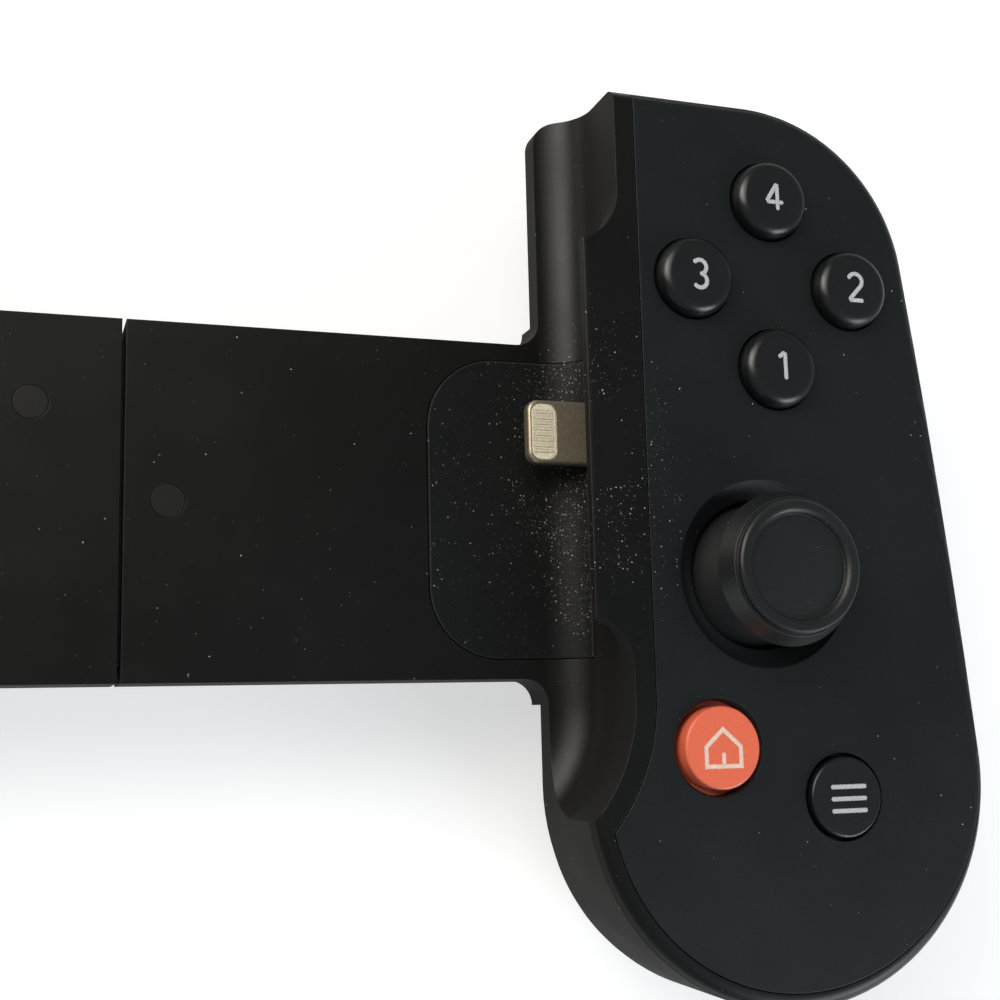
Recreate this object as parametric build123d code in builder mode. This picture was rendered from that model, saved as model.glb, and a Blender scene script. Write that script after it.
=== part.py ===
from build123d import *
import os
from math import acos, cos, degrees, radians, sin, sqrt

# A game controller whose two grips slide apart to take a phone between them.
# X runs from the left grip to the right one, Y up along the short side of the phone, Z out of the face.
# The origin lies on the surface that the controller rests on, under the middle of its overall box.
# Every piece of a half is drawn on the right and mirrored for the left. All sizes are millimetres.

os.makedirs("parts", exist_ok=True)

# Levels above the surface that the controller rests on
face_height = 27.0
phone_depth = 11.0
lean_depth = 2.4
split_depth = 5.0
bridge_depth = 8.0

# Outline of the right grip
rim_x = 43.4
palm_centre_x = 65.8
palm_radius = 22.9
palm_bottom_y = -47.5
shoulder_x = 82.95
shoulder_y = 30.6
crown_y = 47.1
rim_corner = 2.6
flank_lean_share = 4.5 / 90
edge_round = 1.6

# Rounding of the grip's back: how far each side draws in between the split and the rest face
rim_lean = 2.2
back_round_rim = 9.0
back_round_flank = 12.8
back_round_crown = 12.0
back_round_palm = 12.5
back_round_corner = 4.0
back_levels = 6

# Walls
shell_wall = 2.2
back_wall = 1.9
plate_thickness = 1.6
tray_thickness = 1.8
cover_thickness = 1.6
seam_gap = 0.12
fit_gap = 0.1
overrun = 3.0

# Phone channel between the tray and the face
wall_x = 48.4
seam_x = 50.55
bend_x = 31.05
bend_y = -16.3
bend_sweep_share = 60 / 90
ledge = 1.2
channel_round_share = 50 / 99
lip_round_share = 34 / 99
lip_thickness = 1.1
lip_x = 44.5
lip_top_y = 30.2
lip_low_y = -8.6
scoop_top_y = 35.7
scoop_low_y = -13.5

# Faceplate border, measured in from the outline of the grip
plate_inset_palm = 1.75
plate_inset_crown = 0.5

# Telescoping bridge
bridge_low_y = -14.1
bridge_high_y = 21.6
bridge_gap = 0.4
bridge_fillet = 2.6
web_fillet_share = 0.98
sleeve_wall = 1.7
sleeve_end_x = 46.0
rail_half_length = 60.0
rail_gap = 0.2
rail_roof = 0.9
travel = 35.0
stop_pin_radius = 1.5
stop_pin_x = 22.0
stop_pin_inset = 3.2
spring_lane_y = 10.5
spring_lane_width = 4.4
spring_radius = 1.6
spring_wire = 0.5
spring_start_x = 4.6
spring_end_x = 43.0
spring_turns = 22
spring_post_radius = 1.1
flex_lane_y = -1.5
flex_lane_width = 10.0
flex_width = 8.0
flex_thickness = 0.3
flex_layer_gap = 1.0
flex_bend_share = 0.45
flex_far_fold_x = 40.0
flex_near_fold_x = 22.0
flex_end_x = 60.7

# Phone pad
pad_thickness = 0.5
pad_sink = 0.35
pad_start_x = 30.8
pad_low_y = -12.0
pad_high_y = 19.6
pad_corner = 7.4
pad_wrap_share = 60 / 90

# Controls on the face, all on the right half
diamond_x = 65.95
diamond_y = 26.85
key_wall_gap = 0.13
key_hole_radius = 4.42
key_radius = 4.2
key_rise = 1.8
key_round = 1.2
key_travel = 1.2
lower_stick_x = 63.6
lower_stick_y = -4.0
home_x = 57.2
home_y = -21.53
home_hole_radius = 4.7
home_radius = 4.1
home_rise = 1.0
home_countersink = 0.25
menu_x = 71.16
menu_y = -26.83
menu_hole_radius = 4.45
menu_radius = 4.06
menu_rise = 0.6
small_key_round = 0.3
small_key_travel = 0.7
key_lip = 0.4
key_lip_thickness = 1.2
key_lip_gap = 0.3
key_depth = 4.6
key_recess_share = 0.6
key_recess = 2.0

# Direction pad
cross_reach = 10.2
cross_arm = 6.8
cross_rise = 1.7
cross_round = 0.7
cross_gap = 0.5
cross_pivot_depth = 3.2
cross_depth = 4.6
cross_flange_radius = 7.2
cross_flange = 1.0
cross_socket = 3.0
cross_pin_radius = 0.7
cross_post_radius = 2.2
cross_fork_gap = 1.3
cross_ear = 1.2
cross_edge = 0.6
cross_spider_half = 1.1
cross_pin_reach = 3.8
cross_socket_rise = 1.7
cross_fork_depth = 1.6
cross_dome_place = 6.6
cross_dome_radius = 2.0

# Thumb stick
well_mouth_radius = 9.75
well_throat_radius = 7.8
stick_pivot_depth = 6.0
dome_radius = 8.2
dome_wall = 0.7
dome_rim_share = 80 / 90
stick_neck_radius = 3.0
stick_flange_radius = 7.8
stick_flange_rise = 3.5
stick_flange_edge = 0.5
stick_flange_height = 0.8
stick_step = 0.3
stick_step_drop = 0.8
stick_ring_edge = 0.2
stick_ring_radius = 6.65
stick_ring_rise = 7.0
stick_disc_radius = 5.2
stick_slope = 0.7
stick_dish = 0.6
stick_crown = 0.3
stick_shaft_radius = 1.1
stick_shaft_foot = 2.4
stick_socket_depth = 3.0
gimbal_half = 4.8
gimbal_wall = 0.7
gimbal_rise = 2.4
gimbal_floor = 0.7
trunnion_radius = 0.6
yoke_half = 2.9
yoke_wall = 0.9
yoke_depth = 0.9
block_half = 1.6
block_depth = 1.0
arch_radius = 3.95
arch_thickness = 0.65
arch_half_width = 2.0
arch_slot_half = 1.27
arch_slot_reach = 2.4
hub_radius = 1.2
hub_start = 3.15
trunnion_end = 4.7
yoke_window = 2.0
stub_radius = 0.55
stub_end = 2.8

# Phone plug and sockets
plug_y = 11.2
plug_rise = 3.9
plug_width = 6.7
plug_thickness = 1.5
plug_tip_x = 40.3
plug_corner = 1.2
plug_edge = 0.35
window_corner = 1.0
insert_start = 0.35
insert_length = 2.7
insert_border = 0.4
contact_count = 8
contact_width = 0.36
contact_share = 0.8
contact_proud = 0.04
plug_board_thickness = 0.8
plug_board_gap = 1.2
plug_board_room = 3.0
plug_board_width = 12.0
socket_rise = 2.4
charge_slot_width = 6.9
charge_slot_thickness = 1.9
charge_wall = 0.5
charge_corner = 0.6
charge_depth = 7.0
socket_sink = 0.45
jack_bore_radius = 1.8
jack_depth = 14.0
jack_collar_radius = 2.6
jack_body_width = 6.4
light_x = 73.0
light_radius = 0.7

# Bumper and trigger at the crown
shoulder_start_x = 53.2
bumper_end_x = 79.0
bumper_proud = 0.4
bumper_depth = 3.0
bumper_drop = 2.8
bumper_opening_y = 33.0
slot_gap = 0.2
bumper_pivot_x = 55.4
bumper_pivot_inset = 3.6
bumper_pin_radius = 0.8
bumper_boss_radius = 1.7
bumper_round = 0.7
trigger_end_x = 70.0
trigger_rise = 5.2
trigger_tip_share = 26 / 110
trigger_pivot_y = 43.4
trigger_pivot_drop = 2.0
trigger_pin_radius = 0.8
trigger_barrel_radius = 1.7
trigger_barrel_length = 4.6
trigger_skin = 1.9
trigger_cheek = 1.3
trigger_top_inset = 0.1
trigger_waist_inset = 0.7
trigger_low_inset = 0.9
trigger_waist_share = 100 / 110
trigger_low_share = 50 / 110
trigger_tip_thickness = 1.6
trigger_edge = 0.8
trigger_cheek_share = 60 / 110
trigger_flare = 0.8
trigger_well_y = 38.4
well_rib = 1.3
shelf_thickness = 1.0
trigger_spring_wire = 0.4
trigger_spring_turns = 4
trigger_spring_pitch = 0.5
trigger_spring_radius = 1.25
trigger_spring_short_leg = 1.5
trigger_spring_long_leg = 4.8

# Boards, membrane and fasteners
board_drop = 1.0
board_thickness = 1.2
board_inset = 4.6
board_top_y = 36.0
board_low_y = -31.0
board_post_radius = 1.6
membrane_thickness = 0.8
membrane_room = 4.4
membrane_margin = 1.2
dome_foot_share = 0.72
dome_top_share = 0.42
screw_radius = 1.0
screw_head_radius = 1.9
screw_head_thickness = 1.4
screw_seat_share = 55 / 110
screw_length = 11.0
column_radius = 2.3
column_room = 4.4
tray_plug_radius = 1.65
tray_plug_depth = 0.9

column_inset = 5.8
column_turn_shares = (205 / 360, 310 / 360)
crown_column_x = 53.6
crown_column_y = 31.5
flank_column_x = 77.4
flank_column_y = 17.5
thread_gap = 0.05
board_gap = 0.3
right_tray_plug = (4.4, 3.6)
left_tray_plug = (8.6, 12.8)

# Places that follow from the sizes above
tray_height = face_height - phone_depth
lean_height = tray_height - lean_depth
split_height = tray_height - split_depth
bridge_underside = tray_height - bridge_depth
pocket_height = face_height - plate_thickness
channel_depth = face_height - lip_thickness - tray_height
channel_round = channel_depth * channel_round_share
lip_round = channel_depth * lip_round_share
board_height = tray_height - board_drop
tray_underside = tray_height - tray_thickness
cover_top = bridge_underside + cover_thickness
lane_low_y = bridge_low_y + sleeve_wall
lane_high_y = bridge_high_y - sleeve_wall
passage_end_x = seam_x + ledge + overrun
board_top = board_height + board_thickness
pivot_height = face_height - stick_pivot_depth
palm_centre_y = palm_bottom_y + palm_radius
sleeve_start_x = bridge_gap / 2
rail_low = cover_top + rail_gap
rail_high = tray_underside - rail_gap
wall_back_x = seam_x + ledge
diamond_reach = diamond_x - wall_back_x - key_hole_radius - key_lip - key_wall_gap
membrane_top = pocket_height - membrane_room
column_top = pocket_height - column_room
screw_seat = split_height * screw_seat_share
plug_height = tray_height + plug_rise
socket_height = tray_height + socket_rise
trigger_top = split_height + trigger_rise
trigger_pivot_z = trigger_top - trigger_pivot_drop
trigger_ceiling = trigger_top + slot_gap
shelf_top = trigger_ceiling + shelf_thickness
bumper_low = shelf_top + slot_gap
bumper_high = face_height - bumper_drop
grip_screw_places = [
    (
        palm_centre_x + (palm_radius - column_inset) * cos(radians(360 * share)),
        palm_centre_y + (palm_radius - column_inset) * sin(radians(360 * share)),
    )
    for share in column_turn_shares
] + [(flank_column_x, flank_column_y), (crown_column_x, crown_column_y)]
screw_rib_ends = [
    (
        palm_centre_x + palm_radius * cos(radians(360 * share)),
        palm_centre_y + palm_radius * sin(radians(360 * share)),
    )
    for share in column_turn_shares
] + [(palm_centre_x + palm_radius, flank_column_y)]
board_post_places = [
    (diamond_x, board_top_y - 2 * board_post_radius),
    (home_x + home_radius, board_low_y + 2 * board_post_radius),
    (shoulder_x, home_y + key_depth * 2),
]
face_keys = {
    "button_1": (diamond_x, diamond_y - diamond_reach),
    "button_2": (diamond_x + diamond_reach, diamond_y),
    "button_3": (diamond_x - diamond_reach, diamond_y),
    "button_4": (diamond_x, diamond_y + diamond_reach),
}
small_keys = {
    "home": (home_x, home_y, home_hole_radius, home_radius, home_rise),
    "menu": (menu_x, menu_y, menu_hole_radius, menu_radius, menu_rise),
}


def bar(start, direction, length, radius):
    """A round bar from a point along a direction."""
    with BuildPart(Plane(start, z_dir=direction), mode=Mode.PRIVATE) as solid:
        Cylinder(radius, length, align=(Align.CENTER, Align.CENTER, Align.MIN))
    return solid.part


def through_bar(x, y, z, direction, half_length, radius):
    """A round bar centred on a point, used to cut a hole through both walls."""
    start = Vector(x, y, z) - Vector(*direction) * half_length
    return bar(start, direction, 2 * half_length, radius)


def rib(start, end, low_z, high_z):
    """An upright rib between two places."""
    run = Vector(*end) - Vector(*start)
    with BuildPart(Plane(origin=(*start, low_z), x_dir=run, z_dir=(0, 0, 1)), mode=Mode.PRIVATE) as solid:
        Box(run.length, well_rib, high_z - low_z, align=(Align.MIN, Align.CENTER, Align.MIN))
    return solid.part


def square(x, y, half, low_z, high_z):
    """A block on a square base centred on a place."""
    return block(x - half, x + half, y - half, y + half, low_z, high_z)


def save(piece, node):
    """Label a finished piece and write its file."""
    piece.label = node
    export_step(piece, f"parts/{node}.step")


def save_pair(piece, node):
    """Write a piece for the right half and its mirror image for the left."""
    save(piece, f"right_{node}")
    save(mirror(piece, about=Plane.YZ), f"left_{node}")


def grip_section(height, rim=0.0, flank=0.0, crown=0.0, palm=0.0, corner=rim_corner):
    """Outline of the right grip on one level, drawn in from each of its sides."""
    left = rim_x + rim
    low = palm_bottom_y + palm
    high = crown_y - crown
    palm_arc = palm_centre_x - left
    with BuildSketch(Plane.XY.offset(height)) as section:
        with BuildLine():
            inner_arc = JernArc((left, low + palm_arc), (0, -1), palm_arc, 90)
            outer_arc = JernArc(inner_arc @ 1, (1, 0), palm_radius - flank, 90 * (1 + flank_lean_share))
            side = TangentArc(outer_arc @ 1, (shoulder_x - flank, shoulder_y), tangent=outer_arc % 1)
            turn = (side % 1).get_angle(Vector(-1, 0, 0))
            rise = high - (side @ 1).Y
            shoulder = JernArc(side @ 1, side % 1, rise / (1 - cos(radians(turn))), turn)
            Line(shoulder @ 1, (left + corner, high))
            rim_turn = JernArc((left + corner, high), (-1, 0), corner, 90)
            Line(rim_turn @ 1, inner_arc @ 0)
        make_face()
    return section.sketch


def phone_side(height, edge_x):
    """Everything on the phone's side of a line at edge_x that bends towards the rim at its foot."""
    reach = rim_x - 4 * overrun
    radius = edge_x - bend_x
    with BuildSketch(Plane.XY.offset(height)) as side:
        with BuildLine():
            straight = Line((edge_x, crown_y + overrun), (edge_x, bend_y))
            bend = JernArc(straight @ 1, (0, -1), radius, -90 * bend_sweep_share)
            Polyline(bend @ 1, (reach, (bend @ 1).Y), (reach, crown_y + overrun), straight @ 0)
        make_face()
    return side.sketch


def lip_side(height):
    """The same, with the lip left standing over the middle of the channel."""
    reach = rim_x - 4 * overrun
    with BuildSketch(Plane.XY.offset(height)) as side:
        with BuildLine():
            top = Line((wall_x, crown_y + overrun), (wall_x, scoop_top_y))
            upper = TangentArc(top @ 1, (lip_x, lip_top_y), tangent=(0, -1))
            edge = Line(upper @ 1, (lip_x, lip_low_y))
            lower = TangentArc((wall_x, scoop_low_y), edge @ 1, tangent=(0, 1))
            wall = Line(lower @ 0, (wall_x, bend_y))
            bend = JernArc(wall @ 1, (0, -1), wall_x - bend_x, -90 * bend_sweep_share)
            Polyline(bend @ 1, (reach, (bend @ 1).Y), (reach, crown_y + overrun), top @ 0)
        make_face()
    return side.sketch


def bowl(wall):
    """The rounded back of the grip up to the split, drawn in by a wall's thickness."""
    levels = []
    for step in range(back_levels + 1):
        angle = radians(90 * step / back_levels)
        drawn = 1 - cos(angle)
        levels.append(
            grip_section(
                wall + (split_height - wall) * (1 - sin(angle)),
                rim_lean + wall + back_round_rim * drawn,
                wall + back_round_flank * drawn,
                wall + back_round_crown * drawn,
                wall + back_round_palm * drawn,
                rim_corner + back_round_corner * drawn,
            )
        )
    with BuildPart() as form:
        loft(sections=levels)
    return form.part


def block(low_x, high_x, low_y, high_y, low_z, high_z):
    """A plain block between two opposite corners."""
    with BuildPart(Plane.XY, mode=Mode.PRIVATE) as solid:
        with Locations(((low_x + high_x) / 2, (low_y + high_y) / 2, (low_z + high_z) / 2)):
            Box(high_x - low_x, high_y - low_y, high_z - low_z)
    return solid.part


def post(x, y, low_z, high_z, radius):
    """A plain round post."""
    with BuildPart(Plane.XY, mode=Mode.PRIVATE) as solid:
        with Locations((x, y, low_z)):
            Cylinder(radius, high_z - low_z, align=(Align.CENTER, Align.CENTER, Align.MIN))
    return solid.part


# Solid forms that the shells are cut from
block_section = grip_section(lean_height)
lean_sections = [grip_section(lean_height), grip_section(split_height, rim=rim_lean)]
with BuildPart() as front_form:
    add(block_section)
    extrude(amount=face_height - lean_height)
    fillet(front_form.faces().sort_by(Axis.Z)[-1].edges(), radius=edge_round)
    loft(sections=lean_sections, ruled=True)

back_form = bowl(0.0)
back_hollow = bowl(back_wall)

# Space that the phone's end slides into: a round-bottomed channel under a lip
channel_plan = phone_side(tray_height, wall_x)
with BuildPart() as channel:
    add(channel_plan)
    extrude(amount=face_height - lip_thickness - tray_height)
    wall_edges = channel.edges().filter_by(lambda edge: edge.center().X > rim_x)
    fillet(wall_edges.group_by(Axis.Z)[0], radius=channel_round)
    wall_edges = channel.edges().filter_by(lambda edge: edge.center().X > rim_x)
    fillet(wall_edges.group_by(Axis.Z)[-1], radius=lip_round)

scoop_plan = lip_side(tray_height + channel_round)
with BuildPart() as scoop:
    add(scoop_plan)
    extrude(amount=face_height + overrun - tray_height - channel_round)


def plate_plan(height, gap):
    """Outline of the faceplate, drawn in by a gap."""
    border = grip_section(
        height,
        plate_inset_palm + gap,
        plate_inset_crown + gap,
        plate_inset_crown + gap,
        plate_inset_palm + gap,
    )
    side = phone_side(height, seam_x + gap)
    with BuildSketch(Plane.XY.offset(height)) as plan:
        add(border)
        add(side, mode=Mode.SUBTRACT)
    return plan.sketch


def inside_plan(height):
    """Room inside the front shell, beyond the wall behind the phone channel."""
    border = grip_section(height, shell_wall, shell_wall, shell_wall, shell_wall)
    side = phone_side(height, seam_x + ledge)
    with BuildSketch(Plane.XY.offset(height)) as plan:
        add(border)
        add(side, mode=Mode.SUBTRACT)
    return plan.sketch


def pad_sheet(gap, lift):
    """Sheet let into the tray that wraps round the channel's foot, grown by a gap and lifted on top."""
    bend_x = wall_x - channel_round
    centre_z = tray_height + channel_round
    under_radius = channel_round + pad_sink
    over_radius = under_radius - pad_thickness - lift
    wrap = 90 * pad_wrap_share
    with BuildPart(mode=Mode.PRIVATE) as sheet:
        with BuildSketch(Plane.XZ.offset(-pad_high_y - gap)):
            with BuildLine():
                base = Line((pad_start_x - gap, centre_z - under_radius), (bend_x, centre_z - under_radius))
                under = JernArc(base @ 1, (1, 0), under_radius, wrap)
                over = JernArc((bend_x, centre_z - over_radius), (1, 0), over_radius, wrap)
                Line(under @ 1, over @ 1)
                Polyline(over @ 0, (pad_start_x - gap, centre_z - over_radius), base @ 0)
            make_face()
        extrude(amount=pad_high_y - pad_low_y + 2 * gap)
        fillet(sheet.edges().filter_by(Axis.Z).group_by(Axis.X)[0], radius=pad_corner + gap)
    return sheet.part


# Front shell: tray, channel and side walls in one moulding
shell_pocket = plate_plan(pocket_height, 0.0)
shell_room = inside_plan(split_height)
shell_foot = grip_section(split_height, rim_lean + shell_wall, shell_wall, shell_wall, shell_wall)
rim_web = sleeve_end_x - rim_x
bumper_outline = grip_section(bumper_low, -bumper_proud, -bumper_proud, -bumper_proud, 0.0)
bumper_back = grip_section(bumper_low, 0.0, bumper_depth, bumper_depth, 0.0)
bumper_pivot_y = crown_y - bumper_pivot_inset
trigger_opening = block(
    shoulder_start_x, trigger_end_x, trigger_well_y, crown_y + overrun, -overrun, trigger_ceiling
)
bumper_opening = block(
    shoulder_start_x,
    bumper_end_x,
    bumper_opening_y,
    crown_y + overrun,
    bumper_low - slot_gap,
    bumper_high + slot_gap,
)
pad_recess = pad_sheet(seam_gap, pad_thickness)
with BuildPart() as crown_fittings:
    add(
        block(
            seam_x,
            bumper_end_x + well_rib,
            trigger_well_y - well_rib,
            crown_y,
            trigger_ceiling,
            shelf_top,
        )
    )
    add(
        block(
            seam_x,
            trigger_end_x + well_rib,
            trigger_well_y - well_rib,
            crown_y,
            split_height,
            trigger_ceiling,
        )
    )
    for place_x, place_y in grip_screw_places:
        add(post(place_x, place_y, split_height, column_top, column_radius))
    for place, rib_end in zip(grip_screw_places, screw_rib_ends):
        add(rib(place, rib_end, split_height, column_top))
    add(front_form.part, mode=Mode.INTERSECT)

with BuildPart() as shell_blank:
    add(front_form.part)
    with BuildSketch(Plane.XY.offset(split_height)) as root_plan:
        with Locations(((bridge_gap / 2 + sleeve_end_x) / 2, (bridge_low_y + bridge_high_y) / 2)):
            Rectangle(sleeve_end_x - bridge_gap / 2, bridge_high_y - bridge_low_y)
        with Locations((rim_x + rim_web / 2, (bridge_low_y + bridge_high_y) / 2)):
            Rectangle(rim_web, bridge_high_y - bridge_low_y + 2 * bridge_fillet)
        corners = root_plan.vertices().filter_by_position(Axis.X, rim_x - fit_gap, rim_x + fit_gap)
        fillet(corners.sort_by(Axis.Y)[1:3], radius=bridge_fillet * web_fillet_share)
    extrude(amount=tray_height - split_height)
    add(block(bridge_gap / 2, sleeve_end_x, bridge_low_y, bridge_high_y, bridge_underside, split_height))
    add(channel.part, mode=Mode.SUBTRACT)
    add(scoop.part, mode=Mode.SUBTRACT)
    add(pad_recess, mode=Mode.SUBTRACT)
    add(shell_pocket)
    extrude(amount=plate_thickness + overrun, mode=Mode.SUBTRACT)
    add(shell_room)
    extrude(amount=pocket_height - split_height, mode=Mode.SUBTRACT)
    add(shell_foot)
    extrude(amount=tray_underside - split_height, mode=Mode.SUBTRACT)
    add(
        block(-overrun, passage_end_x, lane_low_y, lane_high_y, bridge_underside - overrun, tray_underside),
        mode=Mode.SUBTRACT,
    )
    add(crown_fittings.part)
    add(trigger_opening, mode=Mode.SUBTRACT)
    add(bumper_opening, mode=Mode.SUBTRACT)
    add(post(bumper_pivot_x, bumper_pivot_y, shelf_top, bumper_high, bumper_pin_radius))
    for place_x, place_y in grip_screw_places:
        add(
            post(
                place_x,
                place_y,
                split_height - overrun,
                screw_seat + screw_length + thread_gap,
                screw_radius + thread_gap,
            ),
            mode=Mode.SUBTRACT,
        )
    with BuildSketch(Plane.YZ.offset(shoulder_start_x - 2 * well_rib)):
        with Locations((trigger_pivot_y, trigger_pivot_z)):
            Circle(trigger_pin_radius + thread_gap)
    extrude(amount=trigger_end_x - shoulder_start_x + 4 * well_rib, mode=Mode.SUBTRACT)

plug_slot_width = plug_width + 2 * fit_gap
plug_slot_thickness = plug_thickness + 2 * fit_gap
with BuildPart() as right_front_shell:
    add(shell_blank.part)
    add(
        block(
            lip_x,
            wall_back_x + overrun,
            plug_y - plug_slot_width / 2,
            plug_y + plug_slot_width / 2,
            plug_height - plug_slot_thickness / 2,
            plug_height + plug_slot_thickness / 2,
        ),
        mode=Mode.SUBTRACT,
    )
    with BuildSketch(Plane.XZ.offset(-palm_bottom_y + overrun)):
        with Locations((palm_centre_x, socket_height)):
            Rectangle(
                charge_slot_width + 2 * charge_wall + 2 * fit_gap,
                charge_slot_thickness + 2 * charge_wall + 2 * fit_gap,
            )
        with Locations((light_x, socket_height)):
            Circle(light_radius + thread_gap)
    extrude(amount=-(shell_wall * 2 + overrun), mode=Mode.SUBTRACT)
    add(
        post(
            *right_tray_plug,
            tray_height - tray_plug_depth,
            tray_height + overrun,
            tray_plug_radius + thread_gap,
        ),
        mode=Mode.SUBTRACT,
    )

with BuildPart() as left_front_shell:
    add(shell_blank.part)
    with BuildSketch(Plane.XZ.offset(-palm_bottom_y + overrun)):
        with Locations((palm_centre_x, socket_height)):
            Circle(jack_collar_radius + thread_gap)
    extrude(amount=-(shell_wall * 2 + overrun), mode=Mode.SUBTRACT)
    add(
        post(
            *left_tray_plug,
            tray_height - tray_plug_depth,
            tray_height + overrun,
            tray_plug_radius + thread_gap,
        ),
        mode=Mode.SUBTRACT,
    )

save(right_front_shell.part, "right_front_shell")
save(mirror(left_front_shell.part, about=Plane.YZ), "left_front_shell")

# Faceplates
plate_outline = plate_plan(pocket_height, seam_gap)
with BuildPart() as plate_blank:
    add(plate_outline)
    extrude(amount=plate_thickness)
    add(front_form.part, mode=Mode.INTERSECT)


def well(x, y):
    """Cutter for the flared mouth round a thumb stick."""
    with BuildPart(Plane.XY, mode=Mode.PRIVATE) as cutter:
        with Locations((x, y, pocket_height)):
            Cone(
                well_throat_radius,
                well_mouth_radius,
                plate_thickness,
                align=(Align.CENTER, Align.CENTER, Align.MIN),
            )
    return cutter.part


def cross_plan(height, growth):
    """Outline of the direction pad, grown by a gap all round."""
    with BuildSketch(Plane.XY.offset(height)) as plan:
        with Locations((lower_stick_x, lower_stick_y)):
            Rectangle(2 * (cross_reach + growth), cross_arm + 2 * growth)
            Rectangle(cross_arm + 2 * growth, 2 * (cross_reach + growth))
        tips = plan.vertices().filter_by(
            lambda corner: abs(corner.X - lower_stick_x) > cross_arm
            or abs(corner.Y - lower_stick_y) > cross_arm
        )
        fillet(tips, radius=cross_round)
    return plan.sketch


with BuildPart() as small_key_holes:
    for key_x, key_y, hole_radius, _, _ in small_keys.values():
        add(post(key_x, key_y, pocket_height, face_height, hole_radius))
    with Locations((home_x, home_y, face_height - home_countersink)):
        Cone(
            home_hole_radius,
            home_hole_radius + home_countersink,
            home_countersink,
            align=(Align.CENTER, Align.CENTER, Align.MIN),
        )

with BuildPart() as right_face_plate:
    add(plate_blank.part)
    add(small_key_holes.part, mode=Mode.SUBTRACT)
    add(well(lower_stick_x, lower_stick_y), mode=Mode.SUBTRACT)
    for key_x, key_y in face_keys.values():
        add(post(key_x, key_y, pocket_height, face_height, key_hole_radius), mode=Mode.SUBTRACT)

cross_hole = cross_plan(pocket_height, cross_gap)
with BuildPart() as left_face_plate:
    add(plate_blank.part)
    add(small_key_holes.part, mode=Mode.SUBTRACT)
    add(well(diamond_x, diamond_y), mode=Mode.SUBTRACT)
    add(cross_hole)
    extrude(amount=plate_thickness, mode=Mode.SUBTRACT)

save(right_face_plate.part, "right_face_plate")
save(mirror(left_face_plate.part, about=Plane.YZ), "left_face_plate")

# Back covers
with BuildPart() as back_fittings:
    add(
        block(
            shoulder_start_x - well_rib,
            trigger_end_x + well_rib,
            trigger_well_y - well_rib,
            crown_y,
            0.0,
            split_height,
        )
    )
    for place_x, place_y in grip_screw_places:
        add(post(place_x, place_y, 0.0, split_height, column_radius))
    for place_x, place_y in board_post_places:
        add(post(place_x, place_y, 0.0, split_height, board_post_radius))
    add(back_form, mode=Mode.INTERSECT)

with BuildPart() as back_cover:
    add(back_form)
    add(back_hollow, mode=Mode.SUBTRACT)
    add(back_fittings.part)
    for place_x, place_y in board_post_places:
        add(post(place_x, place_y, split_height, board_height, board_post_radius))
    add(trigger_opening, mode=Mode.SUBTRACT)
    for place_x, place_y in grip_screw_places:
        add(post(place_x, place_y, -overrun, screw_seat, screw_head_radius + fit_gap), mode=Mode.SUBTRACT)
        add(post(place_x, place_y, -overrun, split_height, screw_radius + thread_gap), mode=Mode.SUBTRACT)
    add(
        block(
            -overrun,
            sleeve_end_x + fit_gap,
            bridge_low_y - fit_gap,
            bridge_high_y + fit_gap,
            bridge_underside - fit_gap,
            split_height,
        ),
        mode=Mode.SUBTRACT,
    )
    add(
        block(-overrun, passage_end_x, lane_low_y, lane_high_y, cover_top, split_height),
        mode=Mode.SUBTRACT,
    )
save(back_cover.part, "right_back_cover")

cross_pivot = face_height - cross_pivot_depth
with BuildPart() as left_back_cover:
    add(back_cover.part)
    add(post(lower_stick_x, lower_stick_y, back_wall / 2, cross_pivot + cross_ear, cross_post_radius))
    add(
        block(
            lower_stick_x - cross_fork_gap,
            lower_stick_x + cross_fork_gap,
            lower_stick_y - 2 * cross_post_radius,
            lower_stick_y + 2 * cross_post_radius,
            cross_pivot - cross_fork_depth,
            cross_pivot + overrun,
        ),
        mode=Mode.SUBTRACT,
    )
    add(
        through_bar(
            lower_stick_x,
            lower_stick_y,
            cross_pivot,
            (1, 0, 0),
            2 * cross_post_radius,
            cross_pin_radius + thread_gap,
        ),
        mode=Mode.SUBTRACT,
    )
save(mirror(left_back_cover.part, about=Plane.YZ), "left_back_cover")

# Screws that hold the back covers
with BuildPart() as grip_screws:
    for place_x, place_y in grip_screw_places:
        add(post(place_x, place_y, screw_seat - screw_head_thickness, screw_seat, screw_head_radius))
        add(post(place_x, place_y, screw_seat, screw_seat + screw_length, screw_radius))
        with BuildSketch(Plane.XY.offset(screw_seat - screw_head_thickness)):
            with Locations((place_x, place_y)):
                RegularPolygon(screw_radius, 6)
        extrude(amount=screw_head_thickness / 2, mode=Mode.SUBTRACT)
save_pair(grip_screws.part, "grip_screws")

# Telescoping bridge: rail, covers, springs and ribbon cables
with BuildPart() as centre_rail:
    add(
        block(
            -rail_half_length,
            rail_half_length,
            lane_low_y + rail_gap,
            lane_high_y - rail_gap,
            rail_low,
            rail_high,
        )
    )
    for lane_y, lane_width in ((spring_lane_y, spring_lane_width), (flex_lane_y, flex_lane_width)):
        lane = block(
            spring_start_x - fit_gap,
            rail_half_length + overrun,
            lane_y - lane_width / 2,
            lane_y + lane_width / 2,
            rail_low - overrun,
            rail_high - rail_roof,
        )
        add(lane, mode=Mode.SUBTRACT)
        add(mirror(lane, about=Plane.YZ), mode=Mode.SUBTRACT)
    for stop_y in (lane_low_y + stop_pin_inset, lane_high_y - stop_pin_inset):
        with BuildSketch(Plane.XY.offset(rail_low)):
            with Locations((stop_pin_x + travel / 2, stop_y), (-stop_pin_x - travel / 2, stop_y)):
                SlotCenterToCenter(travel, 2 * (stop_pin_radius + fit_gap))
        extrude(amount=(rail_high - rail_low) / 2, mode=Mode.SUBTRACT)
save(centre_rail.part, "centre_rail")

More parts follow.
